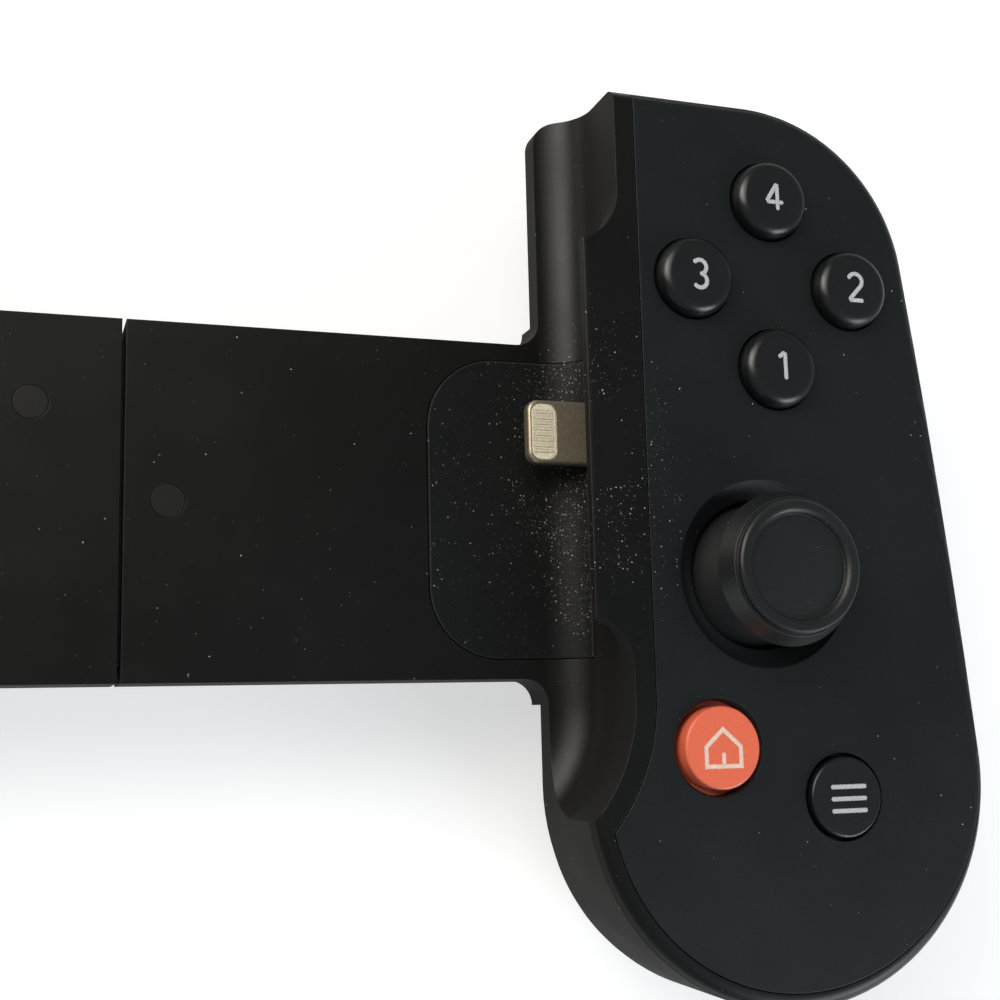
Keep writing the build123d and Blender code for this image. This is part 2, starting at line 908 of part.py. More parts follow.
with BuildPart() as sleeve_cover:
    add(
        block(
            sleeve_start_x,
            sleeve_end_x,
            lane_low_y + fit_gap,
            lane_high_y - fit_gap,
            bridge_underside,
            cover_top,
        )
    )
    for stop_y in (lane_low_y + stop_pin_inset, lane_high_y - stop_pin_inset):
        add(post(stop_pin_x, stop_y, cover_top, (rail_low + rail_high) / 2 - rail_gap, stop_pin_radius))
    add(
        post(
            spring_end_x + spring_post_radius + fit_gap,
            spring_lane_y,
            cover_top,
            rail_high - rail_roof - rail_gap,
            spring_post_radius,
        )
    )
save_pair(sleeve_cover.part, "sleeve_cover")

spring_height = (rail_low + rail_high - rail_roof) / 2
spring_length = spring_end_x - spring_start_x
with BuildPart() as return_spring:
    with BuildLine():
        coil = Helix(
            spring_length / spring_turns,
            spring_length - spring_wire,
            spring_radius - spring_wire / 2,
            center=(spring_start_x + spring_wire / 2, spring_lane_y, spring_height),
            direction=(1, 0, 0),
        )
    with BuildSketch(Plane(coil @ 0, z_dir=coil % 0)):
        Circle(spring_wire / 2)
    sweep()
save_pair(return_spring.part, "return_spring")

flex_top = rail_high - rail_roof - flex_thickness
flex_mid = flex_top - flex_layer_gap
flex_low = flex_mid - flex_layer_gap
with BuildPart() as ribbon_cable:
    with BuildSketch(Plane.XZ.offset(-flex_lane_y)):
        with BuildLine():
            FilletPolyline(
                (spring_start_x, flex_top),
                (flex_far_fold_x, flex_top),
                (flex_far_fold_x, flex_mid),
                (flex_near_fold_x, flex_mid),
                (flex_near_fold_x, flex_low),
                (flex_end_x, flex_low),
                (flex_end_x, board_height),
                radius=flex_layer_gap * flex_bend_share,
            )
        trace(line_width=flex_thickness)
    extrude(amount=flex_width / 2, both=True)
save_pair(ribbon_cable.part, "ribbon_cable")

# Plugs that close the rivet holes in the tray
for node, place in (("right_tray_plug", right_tray_plug), ("left_tray_plug", left_tray_plug)):
    disc = post(*place, tray_height - tray_plug_depth, tray_height, tray_plug_radius)
    save(disc if node == "right_tray_plug" else mirror(disc, about=Plane.YZ), node)

# Rubber pad under the phone's end
pad_blank = pad_sheet(0.0, 0.0)
with BuildPart() as right_phone_pad:
    add(pad_blank)
    add(
        block(
            wall_x - channel_round,
            wall_x + overrun,
            plug_y - plug_slot_width / 2 - 2 * fit_gap,
            plug_y + plug_slot_width / 2 + 2 * fit_gap,
            plug_height - plug_slot_thickness / 2 - 2 * fit_gap,
            plug_height + plug_slot_thickness / 2 + 2 * fit_gap,
        ),
        mode=Mode.SUBTRACT,
    )
save(right_phone_pad.part, "right_phone_pad")
save(mirror(pad_blank, about=Plane.YZ), "left_phone_pad")

# Phone plug
with BuildPart() as phone_plug_shell:
    with BuildSketch(Plane.XY.offset(plug_height - plug_thickness / 2)) as plug_plan:
        with Locations(((plug_tip_x + wall_back_x) / 2, plug_y)):
            Rectangle(wall_back_x - plug_tip_x, plug_width)
        fillet(plug_plan.vertices().group_by(Axis.X)[0], radius=plug_corner)
    extrude(amount=plug_thickness)
    fillet(phone_plug_shell.edges().group_by(Axis.Z)[0], radius=plug_edge)
    fillet(phone_plug_shell.edges().group_by(Axis.Z)[-1], radius=plug_edge)
    with BuildSketch(Plane.XY.offset(plug_height - plug_thickness)) as window:
        with Locations((plug_tip_x + insert_start + insert_length / 2, plug_y)):
            RectangleRounded(insert_length, plug_width - 2 * insert_border, window_corner)
    extrude(amount=2 * plug_thickness, mode=Mode.SUBTRACT)
save(phone_plug_shell.part, "phone_plug_shell")

contact_pitch = (plug_width - 2 * insert_border - plug_corner) / contact_count
with BuildPart() as phone_plug_contacts:
    with BuildSketch(Plane.XY.offset(plug_height - plug_thickness / 2)):
        with Locations((plug_tip_x + insert_start + insert_length / 2, plug_y)):
            with GridLocations(0, contact_pitch, 1, contact_count):
                Rectangle(insert_length * contact_share, contact_width)
    extrude(amount=plug_thickness)
with BuildPart() as phone_plug_insert:
    with BuildSketch(Plane.XY.offset(plug_height - plug_thickness / 2 + contact_proud)):
        with Locations((plug_tip_x + insert_start + insert_length / 2, plug_y)):
            RectangleRounded(insert_length, plug_width - 2 * insert_border, window_corner)
    extrude(amount=plug_thickness - 2 * contact_proud)
    add(phone_plug_contacts.part, mode=Mode.SUBTRACT)
save(phone_plug_insert.part, "phone_plug_insert")
save(phone_plug_contacts.part, "phone_plug_contacts")
save(
    block(
        wall_back_x,
        wall_back_x + plug_board_thickness,
        plug_y - plug_board_width / 2,
        plug_y + plug_board_width / 2,
        board_top + plug_board_gap,
        pocket_height - plug_board_room,
    ),
    "phone_plug_board",
)

# Charging socket, status light and headphone jack in the foot of the grips
with BuildPart() as charge_socket:
    with BuildSketch(Plane.XZ.offset(-palm_bottom_y - socket_sink)):
        with Locations((palm_centre_x, socket_height)):
            Rectangle(charge_slot_width + 2 * charge_wall, charge_slot_thickness + 2 * charge_wall)
    extrude(amount=-charge_depth)
    with BuildSketch(Plane.XZ.offset(-palm_bottom_y - socket_sink)):
        with Locations((palm_centre_x, socket_height)):
            RectangleRounded(charge_slot_width, charge_slot_thickness, charge_corner)
    extrude(amount=-(charge_depth - charge_wall), mode=Mode.SUBTRACT)
save(charge_socket.part, "charge_socket")

light_surface_y = palm_centre_y - sqrt(palm_radius**2 - (light_x - palm_centre_x) ** 2)
with BuildPart() as status_light:
    with BuildSketch(Plane.XZ.offset(-light_surface_y - light_radius / 2)):
        with Locations((light_x, socket_height)):
            Circle(light_radius)
    extrude(amount=-shell_wall)
save(status_light.part, "status_light")

jack_mouth_y = palm_bottom_y + fit_gap
with BuildPart() as headphone_jack:
    with BuildSketch(Plane.XZ.offset(-jack_mouth_y)):
        with Locations((palm_centre_x, socket_height)):
            Circle(jack_collar_radius)
    extrude(amount=-2 * shell_wall)
    with BuildSketch(Plane.XZ.offset(-palm_bottom_y - shell_wall - 3 * fit_gap)):
        with Locations((palm_centre_x, socket_height)):
            Rectangle(jack_body_width, jack_body_width)
    extrude(amount=-(jack_depth - shell_wall + sleeve_wall / 2))
    with BuildSketch(Plane.XZ.offset(-jack_mouth_y)):
        with Locations((palm_centre_x, socket_height)):
            Circle(jack_bore_radius)
    extrude(amount=-jack_depth, mode=Mode.SUBTRACT)
save(mirror(headphone_jack.part, about=Plane.YZ), "headphone_jack")

# Circuit boards and the rubber membranes that lie on them
def board_plan(height, inset, gap):
    """Outline of a board, clear of the shell's walls and of the screw columns."""
    border = grip_section(height, inset, inset, inset, inset)
    side = phone_side(height, wall_back_x + gap)
    with BuildSketch(Plane.XY.offset(height)) as plan:
        add(border)
        add(side, mode=Mode.SUBTRACT)
        with Locations((palm_centre_x, (board_low_y + board_top_y) / 2)):
            Rectangle(4 * palm_radius, board_top_y - board_low_y, mode=Mode.INTERSECT)
        with Locations(*grip_screw_places):
            Circle(column_radius + board_gap, mode=Mode.SUBTRACT)
    return plan.sketch


def dome(x, y, radius):
    """One of the membrane's rubber domes."""
    with BuildPart(Plane.XY, mode=Mode.PRIVATE) as solid:
        with Locations((x, y, board_top)):
            Cone(
                radius * dome_foot_share,
                radius * dome_top_share,
                membrane_top - board_top,
                align=(Align.CENTER, Align.CENTER, Align.MIN),
            )
    return solid.part


board_outline = board_plan(board_height, board_inset, board_gap)
membrane_outline = board_plan(board_top, board_inset + membrane_margin, board_gap + membrane_margin)
with BuildPart() as board:
    add(board_outline)
    extrude(amount=board_thickness)
save(board.part, "right_board")

cross_clearance = post(
    lower_stick_x, lower_stick_y, board_height - overrun, membrane_top, cross_post_radius + board_gap
)
with BuildPart() as left_board:
    add(board.part)
    add(cross_clearance, mode=Mode.SUBTRACT)
save(mirror(left_board.part, about=Plane.YZ), "left_board")

right_domes = [(x, y, key_radius) for x, y in face_keys.values()]
small_domes = [(x, y, radius) for x, y, _, radius, _ in small_keys.values()]
left_domes = [
    (
        lower_stick_x + cross_dome_place * across,
        lower_stick_y + cross_dome_place * along,
        cross_dome_radius,
    )
    for across, along in ((1, 0), (-1, 0), (0, 1), (0, -1))
]
with BuildPart() as right_membrane:
    add(membrane_outline)
    extrude(amount=membrane_thickness)
    for place in right_domes + small_domes:
        add(dome(*place))
    add(
        square(lower_stick_x, lower_stick_y, gimbal_half + board_gap, board_height, membrane_top),
        mode=Mode.SUBTRACT,
    )
    add(
        block(
            seam_x,
            shoulder_x,
            trigger_well_y - well_rib - fit_gap,
            crown_y,
            board_height,
            membrane_top,
        ),
        mode=Mode.SUBTRACT,
    )
save(right_membrane.part, "right_membrane")

with BuildPart() as left_membrane:
    add(membrane_outline)
    extrude(amount=membrane_thickness)
    for place in left_domes + small_domes:
        add(dome(*place))
    add(
        square(diamond_x, diamond_y, gimbal_half + board_gap, board_height, membrane_top),
        mode=Mode.SUBTRACT,
    )
    add(cross_clearance, mode=Mode.SUBTRACT)
save(mirror(left_membrane.part, about=Plane.YZ), "left_membrane")


# Push buttons
def key(x, y, radius, top, edge, hole_radius):
    """A push button with a lip that holds it under the faceplate."""
    foot = face_height - key_depth
    lip_top = pocket_height - key_lip_gap
    with BuildPart(Plane.XY, mode=Mode.PRIVATE) as cap:
        add(post(x, y, foot, top, radius))
        fillet(cap.edges().group_by(Axis.Z)[-1], radius=edge)
        add(post(x, y, lip_top - key_lip_thickness, lip_top, hole_radius + key_lip))
        add(post(x, y, foot, foot + key_recess, radius * key_recess_share), mode=Mode.SUBTRACT)
    return cap.part


for node, (key_x, key_y) in face_keys.items():
    save(key(key_x, key_y, key_radius, face_height + key_rise, key_round, key_hole_radius), node)
for node, opposite in (("home", "capture"), ("menu", "options")):
    key_x, key_y, hole_radius, radius, rise = small_keys[node]
    piece = key(key_x, key_y, radius, face_height + rise, small_key_round, hole_radius)
    save(piece, f"{node}_button")
    save(mirror(piece, about=Plane.YZ), f"{opposite}_button")

# Direction pad, with the spider that lets it rock both ways
with BuildPart() as spider:
    add(
        square(
            lower_stick_x,
            lower_stick_y,
            cross_spider_half,
            cross_pivot - cross_spider_half,
            cross_pivot + cross_spider_half,
        )
    )
    add(
        through_bar(
            lower_stick_x, lower_stick_y, cross_pivot, (1, 0, 0), cross_post_radius, cross_pin_radius
        )
    )
    add(
        through_bar(
            lower_stick_x, lower_stick_y, cross_pivot, (0, 1, 0), cross_pin_reach, cross_pin_radius
        )
    )
save(mirror(spider.part, about=Plane.YZ), "direction_pad_spider")

cross_foot = face_height - cross_depth
cross_outline = cross_plan(cross_foot, 0.0)
with BuildPart() as direction_pad:
    add(cross_outline)
    extrude(amount=cross_depth + cross_rise)
    fillet(direction_pad.edges().group_by(Axis.Z)[-1], radius=cross_edge)
    add(
        post(
            lower_stick_x, lower_stick_y, cross_pivot - cross_flange, cross_pivot, cross_flange_radius
        )
    )
    add(
        post(lower_stick_x, lower_stick_y, cross_foot, cross_pivot + cross_socket_rise, cross_socket),
        mode=Mode.SUBTRACT,
    )
    add(
        through_bar(
            lower_stick_x,
            lower_stick_y,
            cross_pivot,
            (0, 1, 0),
            cross_pin_reach + fit_gap,
            cross_pin_radius + thread_gap,
        ),
        mode=Mode.SUBTRACT,
    )
save(mirror(direction_pad.part, about=Plane.YZ), "direction_pad")


# Thumb sticks
def stick_housing(x, y):
    """Open box on the board that carries both swinging parts."""
    rim = pivot_height + gimbal_rise
    with BuildPart(Plane.XY, mode=Mode.PRIVATE) as piece:
        add(square(x, y, gimbal_half, board_top, rim))
        add(
            square(x, y, gimbal_half - gimbal_wall, board_top + gimbal_floor, rim),
            mode=Mode.SUBTRACT,
        )
        for direction in ((1, 0, 0), (0, 1, 0)):
            add(
                through_bar(
                    x, y, pivot_height, direction, 2 * gimbal_half, trunnion_radius + thread_gap
                ),
                mode=Mode.SUBTRACT,
            )
    return piece.part


def stick_yoke(x, y):
    """Ring that swings about X in the housing and carries the block."""
    low = pivot_height - yoke_depth
    high = pivot_height + yoke_depth
    with BuildPart(Plane.XY, mode=Mode.PRIVATE) as piece:
        add(through_bar(x, y, pivot_height, (1, 0, 0), trunnion_end, trunnion_radius))
        add(square(x, y, yoke_half, low, high))
        add(square(x, y, yoke_window, low, high), mode=Mode.SUBTRACT)
        add(
            through_bar(x, y, pivot_height, (0, 1, 0), 2 * yoke_half, stub_radius + thread_gap),
            mode=Mode.SUBTRACT,
        )
    return piece.part


def stick_block(x, y):
    """Block that swings about Y in the yoke and guides the shaft."""
    with BuildPart(Plane.XY, mode=Mode.PRIVATE) as piece:
        add(through_bar(x, y, pivot_height, (0, 1, 0), stub_end, stub_radius))
        add(square(x, y, block_half, pivot_height - block_depth, pivot_height + block_depth))
        add(
            post(
                x,
                y,
                pivot_height - 2 * block_depth,
                pivot_height + 2 * block_depth,
                stick_shaft_radius + thread_gap,
            ),
            mode=Mode.SUBTRACT,
        )
    return piece.part


def stick_arch(x, y):
    """Slotted arch over the yoke that follows the stick's swing about Y."""
    with BuildPart(Plane.XY, mode=Mode.PRIVATE) as piece:
        with BuildSketch(Plane.YZ.offset(x - arch_half_width)):
            with Locations((y, pivot_height)):
                Circle(arch_radius)
                Circle(arch_radius - arch_thickness, mode=Mode.SUBTRACT)
            with Locations((y, pivot_height + arch_radius)):
                Rectangle(4 * arch_radius, 2 * arch_radius, mode=Mode.INTERSECT)
        extrude(amount=2 * arch_half_width)
        for turn in (1, -1):
            for end, radius in ((arch_radius, hub_radius), (trunnion_end, trunnion_radius)):
                start = (x, y + turn * hub_start, pivot_height)
                add(bar(start, (0, turn, 0), end - hub_start, radius))
        add(
            block(
                x - arch_slot_half,
                x + arch_slot_half,
                y - arch_slot_reach,
                y + arch_slot_reach,
                pivot_height + arch_radius / 2,
                pivot_height + 2 * arch_radius,
            ),
            mode=Mode.SUBTRACT,
        )
    return piece.part


def stick_cap(x, y):
    """Rubber cap: a dome that closes the well, a neck and a flange with a dished top."""
    inner = dome_radius - dome_wall
    rim_angle = 90 * (1 - dome_rim_share)
    neck_angle = degrees(acos(stick_neck_radius / dome_radius))
    shaft_angle = degrees(acos(stick_shaft_radius / inner))
    ring_top = stick_pivot_depth + stick_ring_rise
    flange_low = stick_pivot_depth + stick_flange_rise
    ring_foot = ring_top - stick_step_drop
    disc_edge = ring_top - stick_dish
    with BuildPart(Plane.XY, mode=Mode.PRIVATE) as piece:
        with BuildSketch(Plane((x, y, pivot_height), x_dir=(1, 0, 0), z_dir=(0, -1, 0))):
            with BuildLine():
                skirt = CenterArc((0, 0), dome_radius, rim_angle, neck_angle - rim_angle)
                lining = CenterArc((0, 0), inner, rim_angle, shaft_angle - rim_angle)
                Line(lining @ 0, skirt @ 0)
                side = Polyline(
                    skirt @ 1,
                    (stick_neck_radius, flange_low),
                    (stick_flange_radius - stick_flange_edge, flange_low),
                    (stick_flange_radius, flange_low + stick_flange_height),
                    (stick_ring_radius + stick_step, ring_foot),
                    (stick_ring_radius, ring_foot),
                    (stick_ring_radius, ring_top - stick_ring_edge),
                    (stick_ring_radius - stick_ring_edge, ring_top),
                    (stick_disc_radius + stick_slope, ring_top),
                )
                slope = TangentArc(side @ 1, (stick_disc_radius, disc_edge), tangent=(-1, 0))
                crown = TangentArc((0, disc_edge + stick_crown), slope @ 1, tangent=(1, 0))
                Polyline(
                    crown @ 0,
                    (0, (lining @ 1).Y + stick_socket_depth),
                    (stick_shaft_radius, (lining @ 1).Y + stick_socket_depth),
                    lining @ 1,
                )
            make_face()
        revolve(axis=Axis((x, y, pivot_height), (0, 0, 1)))
    return piece.part


def stick_shaft(x, y):
    """Steel shaft that slides in the block and carries the cap."""
    inner = dome_radius - dome_wall
    socket = sqrt(inner**2 - stick_shaft_radius**2) + stick_socket_depth
    return post(x, y, pivot_height - stick_shaft_foot, pivot_height + socket, stick_shaft_radius)


stick_makers = {
    "stick_housing": stick_housing,
    "stick_yoke": stick_yoke,
    "stick_block": stick_block,
    "stick_arch": stick_arch,
    "stick_shaft": stick_shaft,
    "stick_cap": stick_cap,
}
for node, make in stick_makers.items():
    save(make(lower_stick_x, lower_stick_y), f"right_{node}")
    save(mirror(make(diamond_x, diamond_y), about=Plane.YZ), f"left_{node}")

# Bumpers
with BuildPart() as bumper:
    add(bumper_outline)
    extrude(amount=bumper_high - bumper_low)
    rims = bumper.edges().group_by(Axis.Z)
    fillet(rims[0] + rims[-1], radius=bumper_round)
    add(bumper_back)
    extrude(amount=bumper_high - bumper_low, mode=Mode.SUBTRACT)
    add(
        block(
            shoulder_start_x + slot_gap,
            bumper_end_x - slot_gap,
            bumper_opening_y,
            crown_y + overrun,
            bumper_low,
            bumper_high,
        ),
        mode=Mode.INTERSECT,
    )
    add(post(bumper_pivot_x, bumper_pivot_y, bumper_low, bumper_high, bumper_boss_radius))
    add(
        post(
            bumper_pivot_x,
            bumper_pivot_y,
            bumper_low,
            bumper_high,
            bumper_pin_radius + thread_gap,
        ),
        mode=Mode.SUBTRACT,
    )
save_pair(bumper.part, "bumper")

# Triggers
trigger_low_x = shoulder_start_x + slot_gap
trigger_high_x = trigger_end_x - slot_gap
trigger_waist_z = split_height * trigger_waist_share
trigger_low_z = split_height * trigger_low_share
trigger_tip = split_height * trigger_tip_share
trigger_cheek_low = split_height * trigger_cheek_share
trigger_face = [
    (crown_y - trigger_top_inset, trigger_top),
    (crown_y - trigger_waist_inset, trigger_waist_z),
    (crown_y - trigger_low_inset, trigger_low_z),
    (crown_y - trigger_low_inset + trigger_flare, trigger_tip),
]
trigger_inside = [(y - trigger_skin, z) for y, z in trigger_face[:-1]] + [
    (trigger_face[-1][0] - trigger_tip_thickness, trigger_tip)
]
with BuildPart() as trigger:
    with BuildSketch(Plane.YZ.offset(trigger_low_x)):
        with BuildLine():
            outside = Spline(*trigger_face)
            inside = Spline(*trigger_inside)
            Line(outside @ 0, inside @ 0)
            Line(outside @ 1, inside @ 1)
        make_face()
    extrude(amount=trigger_high_x - trigger_low_x)
    for end in (0, -1):
        faces_end = trigger.edges().group_by(Axis.X)[end]
        fillet(faces_end.sort_by(SortBy.LENGTH)[-2:].sort_by(Axis.Y)[-1], radius=trigger_edge)
    for start_x, length in (
        (trigger_low_x, trigger_cheek),
        (trigger_high_x - trigger_cheek, trigger_cheek),
    ):
        with BuildSketch(Plane.YZ.offset(start_x)):
            with BuildLine():
                Polyline(
                    (trigger_pivot_y - trigger_barrel_radius, trigger_pivot_z),
                    (trigger_face[0][0] - trigger_skin, trigger_pivot_z + trigger_barrel_radius),
                    (trigger_face[1][0] - trigger_skin / 2, trigger_waist_z),
                    (trigger_face[2][0] - trigger_skin / 2, trigger_cheek_low),
                    (trigger_face[2][0] - trigger_skin, trigger_cheek_low),
                    close=True,
                )
            make_face()
        extrude(amount=length)
    for start_x in (trigger_low_x, trigger_high_x - trigger_barrel_length):
        with BuildSketch(Plane.YZ.offset(start_x)):
            with Locations((trigger_pivot_y, trigger_pivot_z)):
                Circle(trigger_barrel_radius)
            with Locations((trigger_pivot_y + trigger_barrel_radius / 2, trigger_pivot_z)):
                Rectangle(2 * trigger_barrel_radius, 2 * trigger_barrel_radius)
        extrude(amount=trigger_barrel_length)
    add(
        bar(
            (trigger_low_x - overrun, trigger_pivot_y, trigger_pivot_z),
            (1, 0, 0),
            trigger_high_x - trigger_low_x + 2 * overrun,
            trigger_pin_radius + thread_gap,
        ),
        mode=Mode.SUBTRACT,
    )
save_pair(trigger.part, "trigger")
save_pair(
    bar(
        (trigger_low_x - well_rib, trigger_pivot_y, trigger_pivot_z),
        (1, 0, 0),
        trigger_high_x - trigger_low_x + 2 * well_rib,
        trigger_pin_radius,
    ),
    "trigger_pin",
)

coil_length = trigger_spring_turns * trigger_spring_pitch
coil_start = ((trigger_low_x + trigger_high_x - coil_length) / 2, trigger_pivot_y, trigger_pivot_z)
with BuildPart() as trigger_spring:
    with BuildLine():
        winding = Helix(
            trigger_spring_pitch,
            coil_length,
            trigger_spring_radius,
            center=coil_start,
            direction=(1, 0, 0),
        )
    with BuildSketch(Plane(winding @ 0, z_dir=winding % 0)):
        Circle(trigger_spring_wire / 2)
    sweep()
    add(bar(winding @ 0, -(winding % 0), trigger_spring_short_leg, trigger_spring_wire / 2))
    add(bar(winding @ 1, winding % 1, trigger_spring_long_leg, trigger_spring_wire / 2))
save_pair(trigger_spring.part, "trigger_spring")
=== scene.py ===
"""Looks of a game controller whose two grips slide apart to take a phone."""

import logging
import math
from dataclasses import dataclass, field
from enum import Enum

import bmesh
import bpy
from mathutils import Matrix, Quaternion, Vector


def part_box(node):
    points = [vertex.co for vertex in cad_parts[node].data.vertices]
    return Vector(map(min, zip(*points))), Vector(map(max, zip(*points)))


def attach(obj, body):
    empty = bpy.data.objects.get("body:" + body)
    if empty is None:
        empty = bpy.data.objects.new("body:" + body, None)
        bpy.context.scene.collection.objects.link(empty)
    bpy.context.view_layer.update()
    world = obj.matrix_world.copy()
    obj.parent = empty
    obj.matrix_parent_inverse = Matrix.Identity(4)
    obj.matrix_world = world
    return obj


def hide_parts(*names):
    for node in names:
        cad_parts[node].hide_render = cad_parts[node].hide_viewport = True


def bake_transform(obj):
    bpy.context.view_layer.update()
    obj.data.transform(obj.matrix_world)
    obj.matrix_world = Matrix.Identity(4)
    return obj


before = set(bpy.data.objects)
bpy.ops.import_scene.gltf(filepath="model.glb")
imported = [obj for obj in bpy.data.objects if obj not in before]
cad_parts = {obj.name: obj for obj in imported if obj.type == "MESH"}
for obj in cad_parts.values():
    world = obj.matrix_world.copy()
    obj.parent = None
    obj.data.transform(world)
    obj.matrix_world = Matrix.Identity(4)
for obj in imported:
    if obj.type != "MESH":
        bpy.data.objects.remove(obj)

LOG = logging.getLogger("controller")
MM = 0.001
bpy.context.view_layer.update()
MERGE_DISTANCE = 1e-7
SHARP_ANGLE = 35.0
BEVEL_SAMPLES = 4

Colour = tuple[float, float, float]
Shape = bmesh.types.BMesh
Node = bpy.types.Node
Socket = bpy.types.NodeSocket


class Side(Enum):
    """The two halves, with the sign of their X."""

    RIGHT = ("right", 1.0)
    LEFT = ("left", -1.0)

    @property
    def word(self) -> str:
        """The half's name as the nodes use it."""
        return self.value[0]

    @property
    def sign(self) -> float:
        """The sign of X on this half."""
        return self.value[1]


class Effect(Enum):
    """The surface effects that the materials share."""

    GRAIN = "moulded_grain"
    DUST = "dust_specks"
    HANDLING = "handling_marks"
    # Paler edges: partly wear, partly painted highlight.
    EDGE = "worn_edges"


class Graph:
    """A shader node tree under construction."""

    def __init__(self, tree: bpy.types.ShaderNodeTree) -> None:
        """Wraps an empty tree."""
        self.tree = tree

    def node(self, kind: str, feeds: dict | None = None, **settings: object) -> Node:
        """Adds a node.

        Args:
            kind: the node's type.
            feeds: values or sockets for its inputs, by name or number.
            settings: the node's own properties.

        Returns:
            The node.
        """
        made = self.tree.nodes.new(kind)
        for name, value in settings.items():
            setattr(made, name, value)
        for name, value in (feeds or {}).items():
            self.feed(made.inputs[name], value)
        return made

    def feed(self, socket: Socket, value: object) -> None:
        """Links a socket to an input, or sets the input's value."""
        if isinstance(value, Socket):
            self.tree.links.new(value, socket)
        else:
            socket.default_value = value

    def math(self, operation: str, *values: object, clamp: bool = False) -> Socket:
        """Adds a Math node.

        Args:
            operation: what it works out.
            values: its inputs in order.
            clamp: whether the result is kept between 0 and 1.

        Returns:
            Its result.
        """
        feeds = dict(enumerate(values))
        return self.node("ShaderNodeMath", feeds, operation=operation, use_clamp=clamp).outputs[0]

    def plus(self, first: object, second: object, clamp: bool = False) -> Socket:
        """The sum of two values."""
        return self.math("ADD", first, second, clamp=clamp)

    def times(self, first: object, second: object) -> Socket:
        """The product of two values."""
        return self.math("MULTIPLY", first, second)

    def noise(self, place: object, scale: object, detail: float = 2.0) -> Socket:
        """The value of a noise texture."""
        feeds = {"Vector": place, "Scale": scale, "Detail": detail}
        return self.node("ShaderNodeTexNoise", feeds).outputs[0]

    def vector(self, operation: str, *values: object) -> Socket:
        """Adds a Vector Math node and gives its vector, or its value for a length or a dot product."""
        made = self.node("ShaderNodeVectorMath", dict(enumerate(values)), operation=operation)
        return made.outputs["Value" if operation in ("LENGTH", "DOT_PRODUCT") else "Vector"]

    def axis(self, value: object, number: int) -> Socket:
        """One component of a vector."""
        return self.node("ShaderNodeSeparateXYZ", {"Vector": value}).outputs[number]

    def mix(self, share: object, first: object, second: object) -> Socket:
        """Adds a colour mix.

        Args:
            share: how much of the second shows.
            first: colour at 0.
            second: colour at 1.

        Returns:
            The mixed colour.
        """
        mixer = self.node("ShaderNodeMix", data_type="RGBA")
        inputs = [socket for socket in mixer.inputs if socket.type == "RGBA"]
        self.feed(mixer.inputs[0], share)
        self.feed(inputs[0], first)
        self.feed(inputs[1], second)
        return next(socket for socket in mixer.outputs if socket.type == "RGBA")

    def ramp(self, value: object, low: object, high: object) -> Socket:
        """Smooth step of a value from 0 at low to 1 at high."""
        feeds = {"Value": value, "From Min": low, "From Max": high}
        return self.node("ShaderNodeMapRange", feeds, interpolation_type="SMOOTHSTEP").outputs[0]

    def place(self) -> Socket:
        """Object coordinates."""
        return self.node("ShaderNodeTexCoord").outputs["Object"]


def opaque(colour: Colour) -> tuple[float, float, float, float]:
    """A colour with full alpha."""
    return (*colour, 1.0)


def blank_material(name: str) -> tuple[bpy.types.Material, Graph, Node]:
    """A new material, its graph and its surface shader."""
    made = bpy.data.materials.new(name)
    made.use_nodes = True
    return made, Graph(made.node_tree), made.node_tree.nodes["Principled BSDF"]


